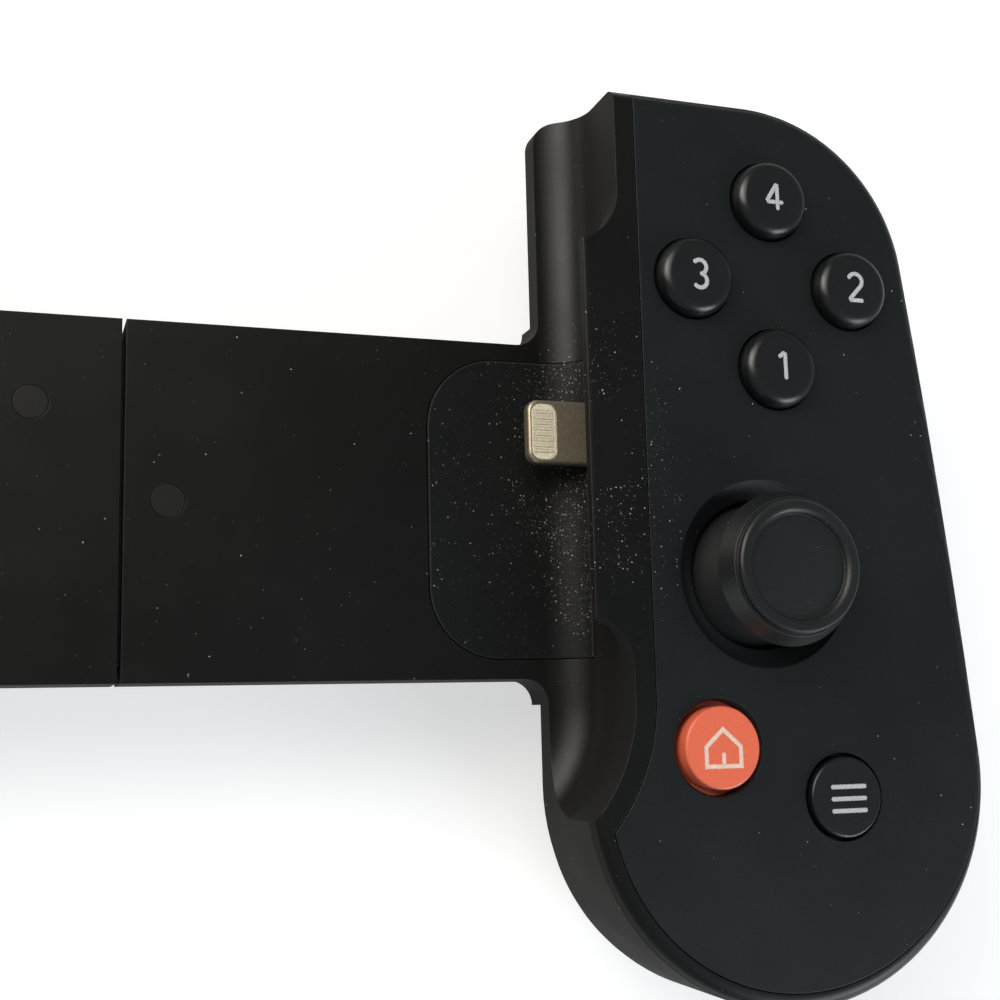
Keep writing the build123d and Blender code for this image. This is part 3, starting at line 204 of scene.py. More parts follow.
@dataclass(frozen=True)
class EffectGroups:
    """Builds each shared effect once, as a node group that puts out maps."""

    grain_detail: float = 2.0
    pit_pace: float = 0.6
    pit_share: float = 0.5
    tone_range: tuple[float, float] = (0.3, 0.7)
    handling_scale: float = 45.0
    fine_scale: float = 210.0
    fine_detail: float = 4.0
    fine_share: float = 0.5
    handling_middle: float = 0.75
    dust_wobble: float = 0.35
    wobble_pace: float = 4.0
    faintest: float = 0.25
    clump_scale: float = 130.0
    clump_range: tuple[float, float] = (0.34, 0.58)
    speck_layers: tuple = ((1.0, 1.0), (2.3, 0.8))
    turn_range: tuple[float, float] = (0.004, 0.12)
    patch_low: float = 0.4

    def start(self, effect: Effect, inputs: dict[str, str], outputs: dict[str, str]) -> tuple:
        """Makes a group with its sockets.

        Args:
            effect: which effect.
            inputs: input names and socket types.
            outputs: output names and socket types.

        Returns:
            The graph, the sockets that bring its inputs and those that take its outputs.
        """
        tree = bpy.data.node_groups.new(effect.value, "ShaderNodeTree")
        for in_out, sockets in (("INPUT", inputs), ("OUTPUT", outputs)):
            for name, kind in sockets.items():
                tree.interface.new_socket(name, in_out=in_out, socket_type=f"NodeSocket{kind}")
        graph = Graph(tree)
        given, result = graph.node("NodeGroupInput"), graph.node("NodeGroupOutput")
        return graph, given.outputs, result.inputs

    def grain(self) -> None:
        """The fine texture that a mould leaves on plastic and rubber."""
        graph, given, result = self.start(
            Effect.GRAIN, {"Scale": "Float"}, {"Height": "Float", "Tone": "Float"}
        )
        place = graph.place()
        noise = graph.noise(place, given["Scale"], self.grain_detail)
        pits = graph.node(
            "ShaderNodeTexVoronoi",
            {"Vector": place, "Scale": graph.times(given["Scale"], self.pit_pace)},
            feature="SMOOTH_F1",
        )
        pitted = graph.times(pits.outputs[0], self.pit_share)
        graph.feed(result["Height"], graph.plus(noise, pitted))
        graph.feed(result["Tone"], graph.ramp(noise, *self.tone_range))

    def dust(self) -> None:
        """Pale specks, denser round a focus."""
        graph, given, result = self.start(
            Effect.DUST,
            dict.fromkeys(("Scale", "Size", "Base", "Extra", "Reach"), "Float")
            | dict.fromkeys(("Focus", "Stretch"), "Vector"),
            {"Mask": "Float"},
        )
        place = graph.place()
        away = graph.vector("SUBTRACT", place, given["Focus"])
        offset = graph.vector("LENGTH", graph.vector("MULTIPLY", away, given["Stretch"]))
        near = graph.ramp(graph.math("DIVIDE", offset, given["Reach"]), 1.0, 0.0)
        crowd = graph.ramp(graph.noise(place, self.clump_scale), *self.clump_range)
        extra = graph.times(given["Extra"], graph.times(near, crowd))
        presence = graph.plus(given["Base"], extra)
        masks = []
        for pace, strength in self.speck_layers:
            scale = graph.times(given["Scale"], pace)
            cells = graph.node(
                "ShaderNodeTexVoronoi", {"Vector": place, "Scale": scale, "Randomness": 1.0}
            )
            wobble = graph.noise(place, graph.times(scale, self.wobble_pace))
            growth = graph.plus(1.0 - self.dust_wobble, wobble)
            reach = graph.times(given["Size"], growth)
            inside = graph.math("LESS_THAN", cells.outputs["Distance"], reach)
            draw = graph.node("ShaderNodeSeparateColor", {"Color": cells.outputs["Color"]})
            chosen = graph.math("LESS_THAN", draw.outputs[0], presence)
            above = graph.times(draw.outputs[1], 1.0 - self.faintest)
            shade = graph.plus(self.faintest, above)
            speck = graph.times(graph.times(inside, chosen), shade)
            masks.append(graph.times(speck, strength))
        graph.feed(result["Mask"], graph.math("MAXIMUM", *masks))

    def handling(self) -> None:
        """Broad, faint differences of sheen that hands leave."""
        graph, given, result = self.start(Effect.HANDLING, {"Amount": "Float"}, {"Shift": "Float"})
        place = graph.place()
        broad = graph.noise(place, self.handling_scale)
        fine = graph.noise(place, self.fine_scale, self.fine_detail)
        both = graph.plus(broad, graph.times(fine, self.fine_share))
        centred = graph.math("SUBTRACT", both, self.handling_middle)
        graph.feed(result["Shift"], graph.times(centred, given["Amount"]))

    def edges(self) -> None:
        """Paler edges, partly polish wear and partly painted highlight, from the turn between the
        rounded and the plain normal.
        """
        graph, given, result = self.start(
            Effect.EDGE, {"Rounded": "Vector", "Amount": "Float"}, {"Mask": "Float"}
        )
        plain = graph.node("ShaderNodeNewGeometry").outputs["Normal"]
        dot = graph.vector("DOT_PRODUCT", given["Rounded"], plain)
        turn = graph.ramp(graph.math("SUBTRACT", 1.0, dot), *self.turn_range)
        uneven = graph.plus(self.patch_low, graph.noise(graph.place(), self.fine_scale))
        mask = graph.times(turn, graph.times(uneven, given["Amount"]))
        graph.feed(result["Mask"], graph.math("MINIMUM", mask, 1.0))

    def build(self) -> None:
        """Builds all the groups."""
        self.grain()
        self.dust()
        self.handling()
        self.edges()


@dataclass(frozen=True)
class Dust:
    """How much dust a finish shows, and where it is dense. Lengths are in millimetres."""

    pitch: float = 0.9
    size: float = 0.13
    base: float = 0.02
    extra: float = 0.0
    focus: Colour = (0.0, 0.0, 0.0)
    stretch: Colour = (1.0, 1.0, 1.0)
    reach: float = 20.0
    colour: Colour = (0.42, 0.4, 0.34)
    roughness: float = 0.9


@dataclass(frozen=True)
class Finish:
    """One surface finish and the material that it becomes. Lengths are in millimetres."""

    name: str
    colour: Colour
    roughness: float
    slot: str
    grain_pitch: float = 0.22
    grain_depth: float = 0.004
    # The edge values set the paler edges: partly wear, partly painted highlight.
    edge_radius: float = 0.18
    edge_amount: float = 0.35
    edge_lift: float = 2.2
    edge_floor: float = 0.004
    tones: tuple[float, float] = (0.82, 1.16)
    handling: float = 0.25
    specular: float = 0.5
    side_roughness: float | None = None
    side_range: tuple[float, float] = (0.6, 0.25)
    dust: Dust | None = None

    def effect(self, graph: Graph, effect: Effect, feeds: dict) -> Node:
        """Places a shared effect with this finish's own values."""
        return graph.node("ShaderNodeGroup", feeds, node_tree=bpy.data.node_groups[effect.value])

    def colour_map(self, graph: Graph, tone: Socket) -> Socket:
        """The base colour before edges and dust; plain finishes only vary its tone."""
        deep, pale = (
            opaque(tuple(min(1.0, share * part) for part in self.colour)) for share in self.tones
        )
        return graph.mix(tone, deep, pale)

    def height_map(self, graph: Graph, grain: Node) -> Socket:
        """The relief that feeds the bump."""
        return grain.outputs["Height"]

    def sheen_map(self, graph: Graph) -> object:
        """The roughness before handling and dust: rougher on the faces that look sideways."""
        if self.side_roughness is None:
            return self.roughness
        upward = graph.axis(graph.node("ShaderNodeNewGeometry").outputs["Normal"], 2)
        spread = self.side_roughness - self.roughness
        share = graph.ramp(upward, *self.side_range)
        return graph.plus(self.roughness, graph.times(share, spread))

    def finish_shader(self, shader: Node) -> None:
        """Sets what is the same all over the surface."""
        shader.inputs["Specular IOR Level"].default_value = self.specular

    def build(self) -> bpy.types.Material:
        """Makes the material.

        Returns:
            The material, with its colour, roughness and bump from its nodes.
        """
        material, graph, shader = blank_material(self.name)
        grain = self.effect(graph, Effect.GRAIN, {"Scale": 1.0 / (self.grain_pitch * MM)})
        handling = self.effect(graph, Effect.HANDLING, {"Amount": self.handling})
        rounded = graph.node(
            "ShaderNodeBevel", {"Radius": self.edge_radius * MM}, samples=BEVEL_SAMPLES
        )
        edges = self.effect(
            graph, Effect.EDGE, {"Rounded": rounded.outputs[0], "Amount": self.edge_amount}
        )
        tone = graph.plus(grain.outputs["Tone"], handling.outputs["Shift"], clamp=True)
        # The edges' colour is partly wear and partly painted highlight; with a lift under 1 the edges
        # turn darker instead.
        lifted = opaque(
            tuple(min(1.0, self.edge_lift * part + self.edge_floor) for part in self.colour)
        )
        colour = graph.mix(edges.outputs["Mask"], self.colour_map(graph, tone), lifted)
        rough = graph.plus(self.sheen_map(graph), handling.outputs["Shift"], clamp=True)
        if self.dust:
            specks = self.effect(
                graph,
                Effect.DUST,
                {
                    "Scale": 1.0 / (self.dust.pitch * MM),
                    "Size": self.dust.size / self.dust.pitch,
                    "Base": self.dust.base,
                    "Extra": self.dust.extra,
                    "Focus": tuple(part * MM for part in self.dust.focus),
                    "Stretch": self.dust.stretch,
                    "Reach": self.dust.reach * MM,
                },
            )
            colour = graph.mix(specks.outputs["Mask"], colour, opaque(self.dust.colour))
            dull = graph.times(specks.outputs["Mask"], self.dust.roughness)
            rough = graph.math("MAXIMUM", rough, dull)
        bump = graph.node(
            "ShaderNodeBump",
            {
                "Strength": 1.0,
                "Distance": self.grain_depth * MM,
                "Height": self.height_map(graph, grain),
                "Normal": rounded.outputs[0],
            },
        )
        graph.feed(shader.inputs["Base Color"], colour)
        graph.feed(shader.inputs["Roughness"], rough)
        graph.feed(shader.inputs["Normal"], bump.outputs[0])
        self.finish_shader(shader)
        return material


@dataclass(frozen=True)
class Metal(Finish):
    """A drawn or plated metal, with fine lines along one direction."""

    stretch: Colour = (1.0, 12.0, 12.0)
    metallic: float = 1.0
    grain_share: float = 0.2

    def finish_shader(self, shader: Node) -> None:
        """Sets what is the same all over the metal."""
        shader.inputs["Metallic"].default_value = self.metallic

    def height_map(self, graph: Graph, grain: Node) -> Socket:
        """Drawing lines over the grain."""
        lines = graph.node(
            "ShaderNodeMapping",
            {"Vector": graph.place(), "Scale": tuple(part / MM for part in self.stretch)},
        )
        grained = graph.times(grain.outputs[0], self.grain_share)
        return graph.plus(graph.noise(lines.outputs[0], 1.0), grained)


@dataclass(frozen=True)
class CircuitBoard(Finish):
    """Solder mask with copper tracks showing faintly through it."""

    track_pitch: float = 3.3
    track_bend: float = 6.0
    track_range: tuple[float, float] = (0.72, 0.8)
    copper: Colour = (0.12, 0.3, 0.12)

    def colour_map(self, graph: Graph, tone: Socket) -> Socket:
        """Green mask, paler over the tracks."""
        tracks = graph.node(
            "ShaderNodeTexWave",
            {
                "Vector": graph.place(),
                "Scale": 1.0 / (self.track_pitch * MM),
                "Distortion": self.track_bend,
                "Detail": 0.0,
            },
        )
        share = graph.ramp(tracks.outputs[1], *self.track_range)
        return graph.mix(share, opaque(self.colour), opaque(self.copper))


@dataclass(frozen=True)
class GripBack(Finish):
    """Grained plastic with rows of small raised dots over the palm."""

    dot_pitch: float = 1.5
    dot_range: tuple[float, float] = (0.3, 0.75)
    dot_height: float = 14.0
    fade_range: tuple[float, float] = (8.5, 5.0)

    def height_map(self, graph: Graph, grain: Node) -> Socket:
        """Grain with a lattice of dots, faded out towards the split."""
        split = graph.node("ShaderNodeSeparateXYZ", {"Vector": graph.place()}).outputs
        pace = math.tau / (self.dot_pitch * MM)
        waves = [graph.math("SINE", graph.times(split[axis], pace)) for axis in (0, 1)]
        dots = graph.ramp(graph.times(*waves), *self.dot_range)
        low = graph.ramp(split[2], *(level * MM for level in self.fade_range))
        raised = graph.times(graph.times(dots, low), self.dot_height)
        return graph.plus(grain.outputs["Height"], raised)


@dataclass(frozen=True)
class PaintedShadeBelow(Finish):
    """A finish with painted shade below a level: deep, dull black there, and its own colour above it.
    """

    # Painted shade: this colour and dullness below the level stand in for the shade down in a well.
    painted_shade: Colour = (0.0012, 0.0018, 0.0028)
    shade_roughness: float = 0.8
    shade_fade_from: float = 29.6
    shade_fade_to: float = 30.6

    def worn(self, graph: Graph) -> Socket:
        """0 where the shade is painted, 1 above it."""
        return graph.ramp(graph.axis(graph.place(), 2), self.shade_fade_from * MM, self.shade_fade_to * MM)

    def colour_map(self, graph: Graph, tone: Socket) -> Socket:
        """Painted shade below, the finish's own colour above."""
        return graph.mix(self.worn(graph), opaque(self.painted_shade), super().colour_map(graph, tone))

    def sheen_map(self, graph: Graph) -> object:
        """Dull below, with the finish's own sheen above."""
        gain = graph.times(self.worn(graph), self.roughness - self.shade_roughness)
        return graph.plus(self.shade_roughness, gain)


PLUG_ROOT = (46.8, 7.0, 18.0)
SEAM_POINT = (50.5, 6.0, 27.0)
ALONG_CHANNEL = (1.0, 0.36, 0.4)


FINISHES: tuple[Finish, ...] = (
    Finish(
        "shell_black", (0.0034, 0.0033, 0.003), 0.39, "shell_plastic", grain_depth=0.003,
        edge_amount=0.6, edge_lift=9.0, specular=0.27, side_roughness=0.78,
        dust=Dust(pitch=0.5, size=0.07, base=0.013, extra=0.9, focus=PLUG_ROOT,
                  stretch=ALONG_CHANNEL, reach=8.5),
    ),
    # Painted shade on the plate below its face, in the stick's well and on the seam's sides.
    PaintedShadeBelow(
        "plate_black", (0.0045, 0.0068, 0.0075), 0.42, "plate_plastic",
        grain_depth=0.003, edge_amount=0.9, edge_radius=0.14, specular=0.4,
        painted_shade=(0.0009, 0.0014, 0.0028), shade_fade_from=25.7, shade_fade_to=26.95,
        dust=Dust(pitch=0.6, size=0.07, base=0.015, extra=0.6, focus=SEAM_POINT,
                  stretch=ALONG_CHANNEL, reach=7.0),
    ),
    GripBack("back_black", (0.0045, 0.0045, 0.0045), 0.5, "back_plastic", grain_depth=0.006,
             specular=0.25, side_roughness=0.75),
    Finish("bridge_black", (0.0045, 0.0045, 0.0043), 0.45, "shell_plastic", specular=0.25,
           side_roughness=0.75),
    Finish(
        "pad_rubber", (0.004, 0.0048, 0.0045), 0.55, "pad_rubber", grain_pitch=0.3,
        grain_depth=0.006, edge_amount=1.0, edge_lift=9.0, edge_radius=0.3, specular=0.2,
        dust=Dust(pitch=0.4, size=0.07, base=0.06, extra=1.3, focus=PLUG_ROOT,
                  stretch=ALONG_CHANNEL, reach=9.5, colour=(0.33, 0.31, 0.26)),
    ),
    Finish("key_black", (0.0055, 0.0066, 0.007), 0.3, "key_plastic",
           grain_depth=0.002, dust=Dust(pitch=0.8, size=0.07, base=0.01)),
    Finish("menu_black", (0.0045, 0.0068, 0.0075), 0.36, "key_plastic", edge_amount=1.0,
           edge_lift=7.0, edge_radius=0.12),
    Finish("home_orange", (0.85, 0.165, 0.085), 0.3, "orange_plastic", grain_pitch=0.09,
           grain_depth=0.0025, edge_amount=1.0, edge_lift=1.6, handling=0.1),
    # Painted shade on the stick's dome below the cap's flange.
    PaintedShadeBelow("stick_rubber", (0.0085, 0.0098, 0.0102), 0.42, "stick_rubber", grain_pitch=0.16,
            grain_depth=0.005, edge_amount=0.8, edge_lift=4.0, specular=0.45,
            dust=Dust(pitch=0.8, size=0.08, base=0.02, colour=(0.25, 0.25, 0.24))),
    Finish("trigger_black", (0.0065, 0.0068, 0.007), 0.34, "key_plastic"),
    Finish("rail_grey", (0.012, 0.012, 0.0125), 0.38, "rail_plastic", grain_pitch=0.5),
    Finish("membrane_silicone", (0.35, 0.36, 0.38), 0.6, "membrane_rubber"),
    Finish("inner_nylon", (0.02, 0.02, 0.022), 0.4, "inner_plastic"),
    Finish("ribbon_film", (0.42, 0.14, 0.02), 0.28, "ribbon_film", grain_pitch=0.6),
    Finish("insert_cream", (0.82, 0.75, 0.58), 0.3, "insert_plastic", grain_pitch=0.15,
           edge_amount=0.0),
    Finish("mark_white", (0.52, 0.54, 0.55), 0.5, "light_lens", grain_pitch=0.12,
           grain_depth=0.002, edge_amount=0.0, handling=0.5),
    Finish("mark_cream", (0.95, 0.66, 0.55), 0.45, "light_lens", grain_pitch=0.12,
           grain_depth=0.002, edge_amount=0.0, handling=0.4),
    Finish("light_lens", (0.5, 0.5, 0.52), 0.3, "light_lens"),
    Finish("pad_mark", (0.02, 0.021, 0.022), 0.25, "key_plastic", edge_amount=0.6),
    CircuitBoard("board_green", (0.01, 0.07, 0.025), 0.3, "board"),
    Metal("plug_champagne", (0.4, 0.34, 0.24), 0.32, "plug_metal", grain_depth=0.0006,
          metallic=0.75),
    Finish("contact_pale", (0.72, 0.64, 0.48), 0.3, "contact_metal", grain_depth=0.0005,
           edge_lift=0.3, edge_amount=1.0, edge_radius=0.08),
    Finish("tray_plug_black", (0.0058, 0.0055, 0.0048), 0.48, "shell_plastic", specular=0.3),
    Metal("ring_gold", (0.95, 0.74, 0.42), 0.25, "contact_metal", grain_depth=0.002),
    Metal("spring_steel", (0.55, 0.55, 0.56), 0.3, "steel", grain_depth=0.002),
    Metal("screw_black", (0.06, 0.06, 0.065), 0.4, "screw_steel", grain_depth=0.003),
)


class Finishes:
    """Every material on the controller, each built the first time that it is asked for."""

    kinds: dict[str, Finish] = {finish.name: finish for finish in FINISHES}

    def __init__(self) -> None:
        """Starts with no material built."""
        self.built: dict[str, bpy.types.Material] = {}

    def get(self, name: str) -> bpy.types.Material:
        """The material of that name."""
        if name not in self.built:
            self.built[name] = self.kinds[name].build()
        return self.built[name]

    def dress(self, piece: bpy.types.Object, name: str) -> None:
        """Puts a finish on every material slot of a piece or CAD node."""
        material = self.get(name)
        if not piece.material_slots:
            piece.data.materials.append(material)
        for slot in piece.material_slots:
            slot.material = material


def weld(mesh: Shape) -> None:
    """Joins the points that coincide and turns the faces outwards."""
    bmesh.ops.remove_doubles(mesh, verts=mesh.verts, dist=MERGE_DISTANCE)
    bmesh.ops.recalc_face_normals(mesh, faces=mesh.faces)


def parts(geometry: list, kind: type) -> list:
    """The parts of one kind in what a mesh operator gives back."""
    return [part for part in geometry if isinstance(part, kind)]


def shown(name: str, data: bpy.types.ID) -> bpy.types.Object:
    """A new object in the scene that shows some data."""
    made = bpy.data.objects.new(name, data)
    bpy.context.scene.collection.objects.link(made)
    return made


@dataclass
class Workshop:
    """Turns bmeshes into pieces that ride on the controller's bodies."""

    finishes: Finishes
    made: list[str] = field(default_factory=list)

    def piece(self, name: str, mesh: Shape, finish: str) -> bpy.types.Object:
        """Makes an object from a bmesh in the row frame.

        Args:
            name: the piece's name.
            mesh: its shape, in metres; it is freed.
            finish: the finish it gets.

        Returns:
            The object, at the origin.
        """
        weld(mesh)
        data = bpy.data.meshes.new(name)
        mesh.to_mesh(data)
        mesh.free()
        made = shown(name, data)
        data.shade_smooth()
        data.set_sharp_from_angle(angle=math.radians(SHARP_ANGLE))
        self.finishes.dress(made, finish)
        self.made.append(name)
        return made

    def riding(
        self, name: str, mesh: Shape, finish: str, body: str
    ) -> bpy.types.Object:
        """Makes a piece and lets it ride on a body."""
        made = self.piece(name, mesh, finish)
        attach(made, body)
        LOG.info("%s rides on %s", name, body)
        return made


def node_top(node: str) -> Vector:
    """The middle of a CAD node's top face."""
    low, high = (Vector(corner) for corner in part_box(node))
    return Vector(((low.x + high.x) / 2, (low.y + high.y) / 2, high.z))


def arc(
    centre: tuple[float, float], radius: float, start: float, end: float, steps: int = 14
) -> list[tuple[float, float]]:
    """Points on an arc.

    Args:
        centre: its centre.
        radius: its radius.
        start: where it starts, in degrees.
        end: where it ends, in degrees.
        steps: how many pieces it has.

    Returns:
        The points in order.
    """
    turns = [math.radians(start + (end - start) * step / steps) for step in range(steps + 1)]
    x, y = centre
    return [(x + radius * math.cos(turn), y + radius * math.sin(turn)) for turn in turns]


NUMERALS: dict[int, list[list]] = {
    1: [[(-0.2, 0.3), (0.06, 0.5)], [(0.06, 0.5), (0.06, -0.5)]],
    2: [arc((0.0, 0.22), 0.28, 165, -38) + [(-0.29, -0.5)], [(-0.29, -0.5), (0.31, -0.5)]],
    3: [arc((-0.01, 0.245), 0.255, 150, -90), arc((-0.01, -0.25), 0.26, 90, -150)],
    4: [[(0.1, 0.5), (-0.34, -0.2)], [(-0.34, -0.2), (0.34, -0.2)], [(0.1, 0.5), (0.1, -0.5)]],
}


@dataclass
class Marks:
    """The plain marks on the controls. Sizes are in millimetres."""

    workshop: Workshop
    numeral_height: float = 2.95
    stroke: float = 0.45
    relief: float = 0.02
    stroke_step: float = 0.004
    bar_length: float = 4.15
    bar_gap: float = 1.2
    bar_shift: tuple[float, float] = (0.22, -0.16)
    house_width: float = 3.8
    house_wall: float = 1.9
    house_roof: float = 1.7
    door_height: float = 1.35
    dot_radius: float = 0.36
    ring_dot_radius: float = 0.54
    dot_gap: float = 1.35
    ring_radius: float = 1.6
    arrow_radius: float = 1.25
    arrow_place: float = 7.3
    end_share: float = 0.48
    end_segments: int = 5
    round_steps: int = 40
    mitre_limit: float = 0.35

    def corners(self, points: list, closed: bool) -> list[tuple[Vector, Vector]]:
        """The left and right corner of a line of even width at each of its points.

        Args:
            points: the line's points in millimetres.
            closed: whether the line ends where it starts.

        Returns:
            Pairs of corners, in metres from the points' origin.
        """
        path = [Vector((*point, 0.0)) * MM for point in points]
        count = len(path)
        pairs = []
        for index, point in enumerate(path):
            before = path[index - 1] if closed or index else None
            after = path[(index + 1) % count] if closed or index + 1 < count else None
            ways = [(b - a).normalized() for a, b in ((before, point), (point, after)) if a and b]
            sides = [Vector((-way.y, way.x, 0.0)) for way in ways]
            middle = sum(sides, Vector()).normalized()
            offset = middle * self.stroke * MM / 2 / max(self.mitre_limit, middle.dot(sides[0]))
            pairs.append((point + offset, point - offset))
        return pairs + pairs[:1] if closed else pairs

    def line(self, shape: Shape, top: Vector, points: list, closed: bool = False) -> None:
        """Adds a flat line of even width to a shape, with round ends where it has ends.

        Args:
            shape: what it is added to.
            top: where the points' origin lies, in metres.
            points: the line's points in the plane of the top, in millimetres.
            closed: whether the line ends where it starts.
        """
        pairs = self.corners(points, closed)
        edge = shape.edges.new([shape.verts.new(top + corner) for corner in pairs[0]])
        ends = list(edge.verts)
        for before, after in zip(pairs, pairs[1:]):
            grown = bmesh.ops.extrude_edge_only(shape, edges=[edge])["geom"]
            edge = parts(grown, bmesh.types.BMEdge)[0]
            for vert in edge.verts:
                side = min((0, 1), key=lambda one: (vert.co - top - before[one]).length)
                vert.co = top + after[side]
        if not closed:
            bmesh.ops.bevel(
                shape, geom=ends + list(edge.verts), offset=self.end_share * self.stroke * MM,
                segments=self.end_segments, profile=0.5, affect="VERTICES", material=-1,
            )

    def disc(self, shape: Shape, place: Vector, radius: float) -> None:
        """Adds a flat disc to a shape."""
        bmesh.ops.create_circle(
            shape, cap_ends=True, radius=radius * MM, segments=self.round_steps // 2,
            matrix=Matrix.Translation(place),
        )

    def finish(self, name: str, shape: Shape, finish: str, body: str) -> None:
        """Gives the flat faces their relief and lets them ride on a body."""
        weld(shape)
        grown = bmesh.ops.extrude_face_region(shape, geom=list(shape.faces))["geom"]
        verts = parts(grown, bmesh.types.BMVert)
        bmesh.ops.translate(shape, verts=verts, vec=(0, 0, self.relief * MM))
        self.workshop.riding(name, shape, finish, body)

    def numerals(self) -> None:
        """Numbers 1 to 4 on the face buttons."""
        for number, lines in NUMERALS.items():
            shape = bmesh.new()
            for index, line in enumerate(lines):
                points = [(x * self.numeral_height, y * self.numeral_height) for x, y in line]
                step = Vector((0.0, 0.0, index * self.stroke_step * MM))
                self.line(shape, node_top(f"button_{number}") + step, points)
            self.finish(f"numeral_{number}", shape, "mark_white", f"button_{number}")

    def menu_bars(self) -> None:
        """Three bars on the menu button."""
        shape = bmesh.new()
        middle_x, middle_y = self.bar_shift
        half = self.bar_length / 2
        for row in (-1, 0, 1):
            y = middle_y + row * self.bar_gap
            self.line(shape, node_top("menu_button"), [(middle_x - half, y), (middle_x + half, y)])
        self.finish("menu_bars", shape, "mark_white", "menu")

    def house(self) -> None:
        """An outlined house with a door on the home button."""
        shape = bmesh.new()
        half, wall, roof = self.house_width / 2, self.house_wall, self.house_roof
        low = -(wall + roof) / 2
        eaves = low + wall
        outline = [(-half, low), (half, low), (half, eaves), (0.0, eaves + roof), (-half, eaves)]
        self.line(shape, node_top("home_button"), outline, closed=True)
        step = Vector((0.0, 0.0, self.stroke_step * MM))
        self.line(shape, node_top("home_button") + step, [(0.0, low), (0.0, low + self.door_height)])
        self.finish("house_mark", shape, "mark_cream", "home")

    def option_dots(self) -> None:
        """Three dots on the options button."""
        shape = bmesh.new()
        for column in (-1, 0, 1):
            place = node_top("options_button") + Vector((column * self.dot_gap * MM, 0.0, 0.0))
            self.disc(shape, place, self.dot_radius)
        self.finish("option_dots", shape, "mark_white", "options")

    def capture_ring(self) -> None:
        """A ring round a dot on the capture button."""
        shape = bmesh.new()
        ring = arc((0.0, 0.0), self.ring_radius, 0, 360, self.round_steps)[:-1]
        self.line(shape, node_top("capture_button"), ring, closed=True)
        self.disc(shape, node_top("capture_button"), self.ring_dot_radius)
        self.finish("capture_mark", shape, "mark_white", "capture")

    def pad_arrows(self) -> None:
        """A small raised arrow near the tip of each arm of the direction pad."""
        shape = bmesh.new()
        top = node_top("direction_pad")
        for quarter in range(4):
            angle = quarter * math.pi / 2
            reach = Vector((math.cos(angle), math.sin(angle), 0.0)) * self.arrow_place * MM
            bmesh.ops.create_circle(
                shape, cap_ends=True, radius=self.arrow_radius * MM, segments=3,
                matrix=Matrix.Translation(top + reach) @ Matrix.Rotation(angle - math.pi / 2, 4, "Z"),
            )
        self.finish("pad_arrows", shape, "pad_mark", "direction_pad")

    def build(self) -> None:
        """Makes every mark."""
        self.numerals()
        self.menu_bars()
        self.house()
        self.option_dots()
        self.capture_ring()
        self.pad_arrows()


@dataclass
class SocketTrim:
    """Small parts inside the two sockets. Sizes are in millimetres."""

    workshop: Workshop
    tongue: Colour = (5.0, 4.6, 0.7)
    tongue_front: float = 1.2
    tongue_round: float = 0.12
    tongue_segments: int = 3
    ring_inner: float = 1.83
    ring_outer: float = 2.35
    ring_depth: float = 0.1
    round_steps: int = 48

    def charging_tongue(self) -> None:
        """The tongue that carries the contacts inside the charging socket."""
        low, high = (Vector(corner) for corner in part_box("charge_socket"))
        middle = (low + high) / 2
        shape = bmesh.new()
        bmesh.ops.create_cube(shape, size=1.0)
        bmesh.ops.scale(shape, verts=shape.verts, vec=Vector(self.tongue) * MM)
        centre = Vector((middle.x, low.y + (self.tongue_front + self.tongue[1] / 2) * MM, middle.z))
        bmesh.ops.translate(shape, verts=shape.verts, vec=centre)
        bmesh.ops.bevel(
            shape, geom=list(shape.edges), offset=self.tongue_round * MM,
            segments=self.tongue_segments, profile=0.5, affect="EDGES", material=-1,
        )
        self.workshop.riding("charging_tongue", shape, "inner_nylon", "right_half")

    def jack_ring(self) -> None:
        """The plated ring round the mouth of the headphone socket."""
        low, high = (Vector(corner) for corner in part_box("headphone_jack"))
        centre = Vector(((low.x + high.x) / 2, low.y, (low.z + high.z) / 2))
        shape = bmesh.new()
        profile = [
            shape.verts.new(centre + Vector((radius, depth, 0)) * MM)
            for radius, depth in (
                (self.ring_inner, 0.0),
                (self.ring_outer, 0.0),
                (self.ring_outer, -self.ring_depth),
                (self.ring_inner, -self.ring_depth),
            )
        ]
        edges = [shape.edges.new((profile[i], profile[(i + 1) % 4])) for i in range(4)]
        bmesh.ops.spin(
            shape, geom=profile + edges, cent=centre, axis=(0, 1, 0), angle=math.tau,
            steps=self.round_steps, use_merge=True, use_duplicate=False,
        )
        self.workshop.riding("jack_ring", shape, "ring_gold", "left_half")

    def build(self) -> None:
        """Makes the trim of both sockets."""
        self.charging_tongue()
        self.jack_ring()


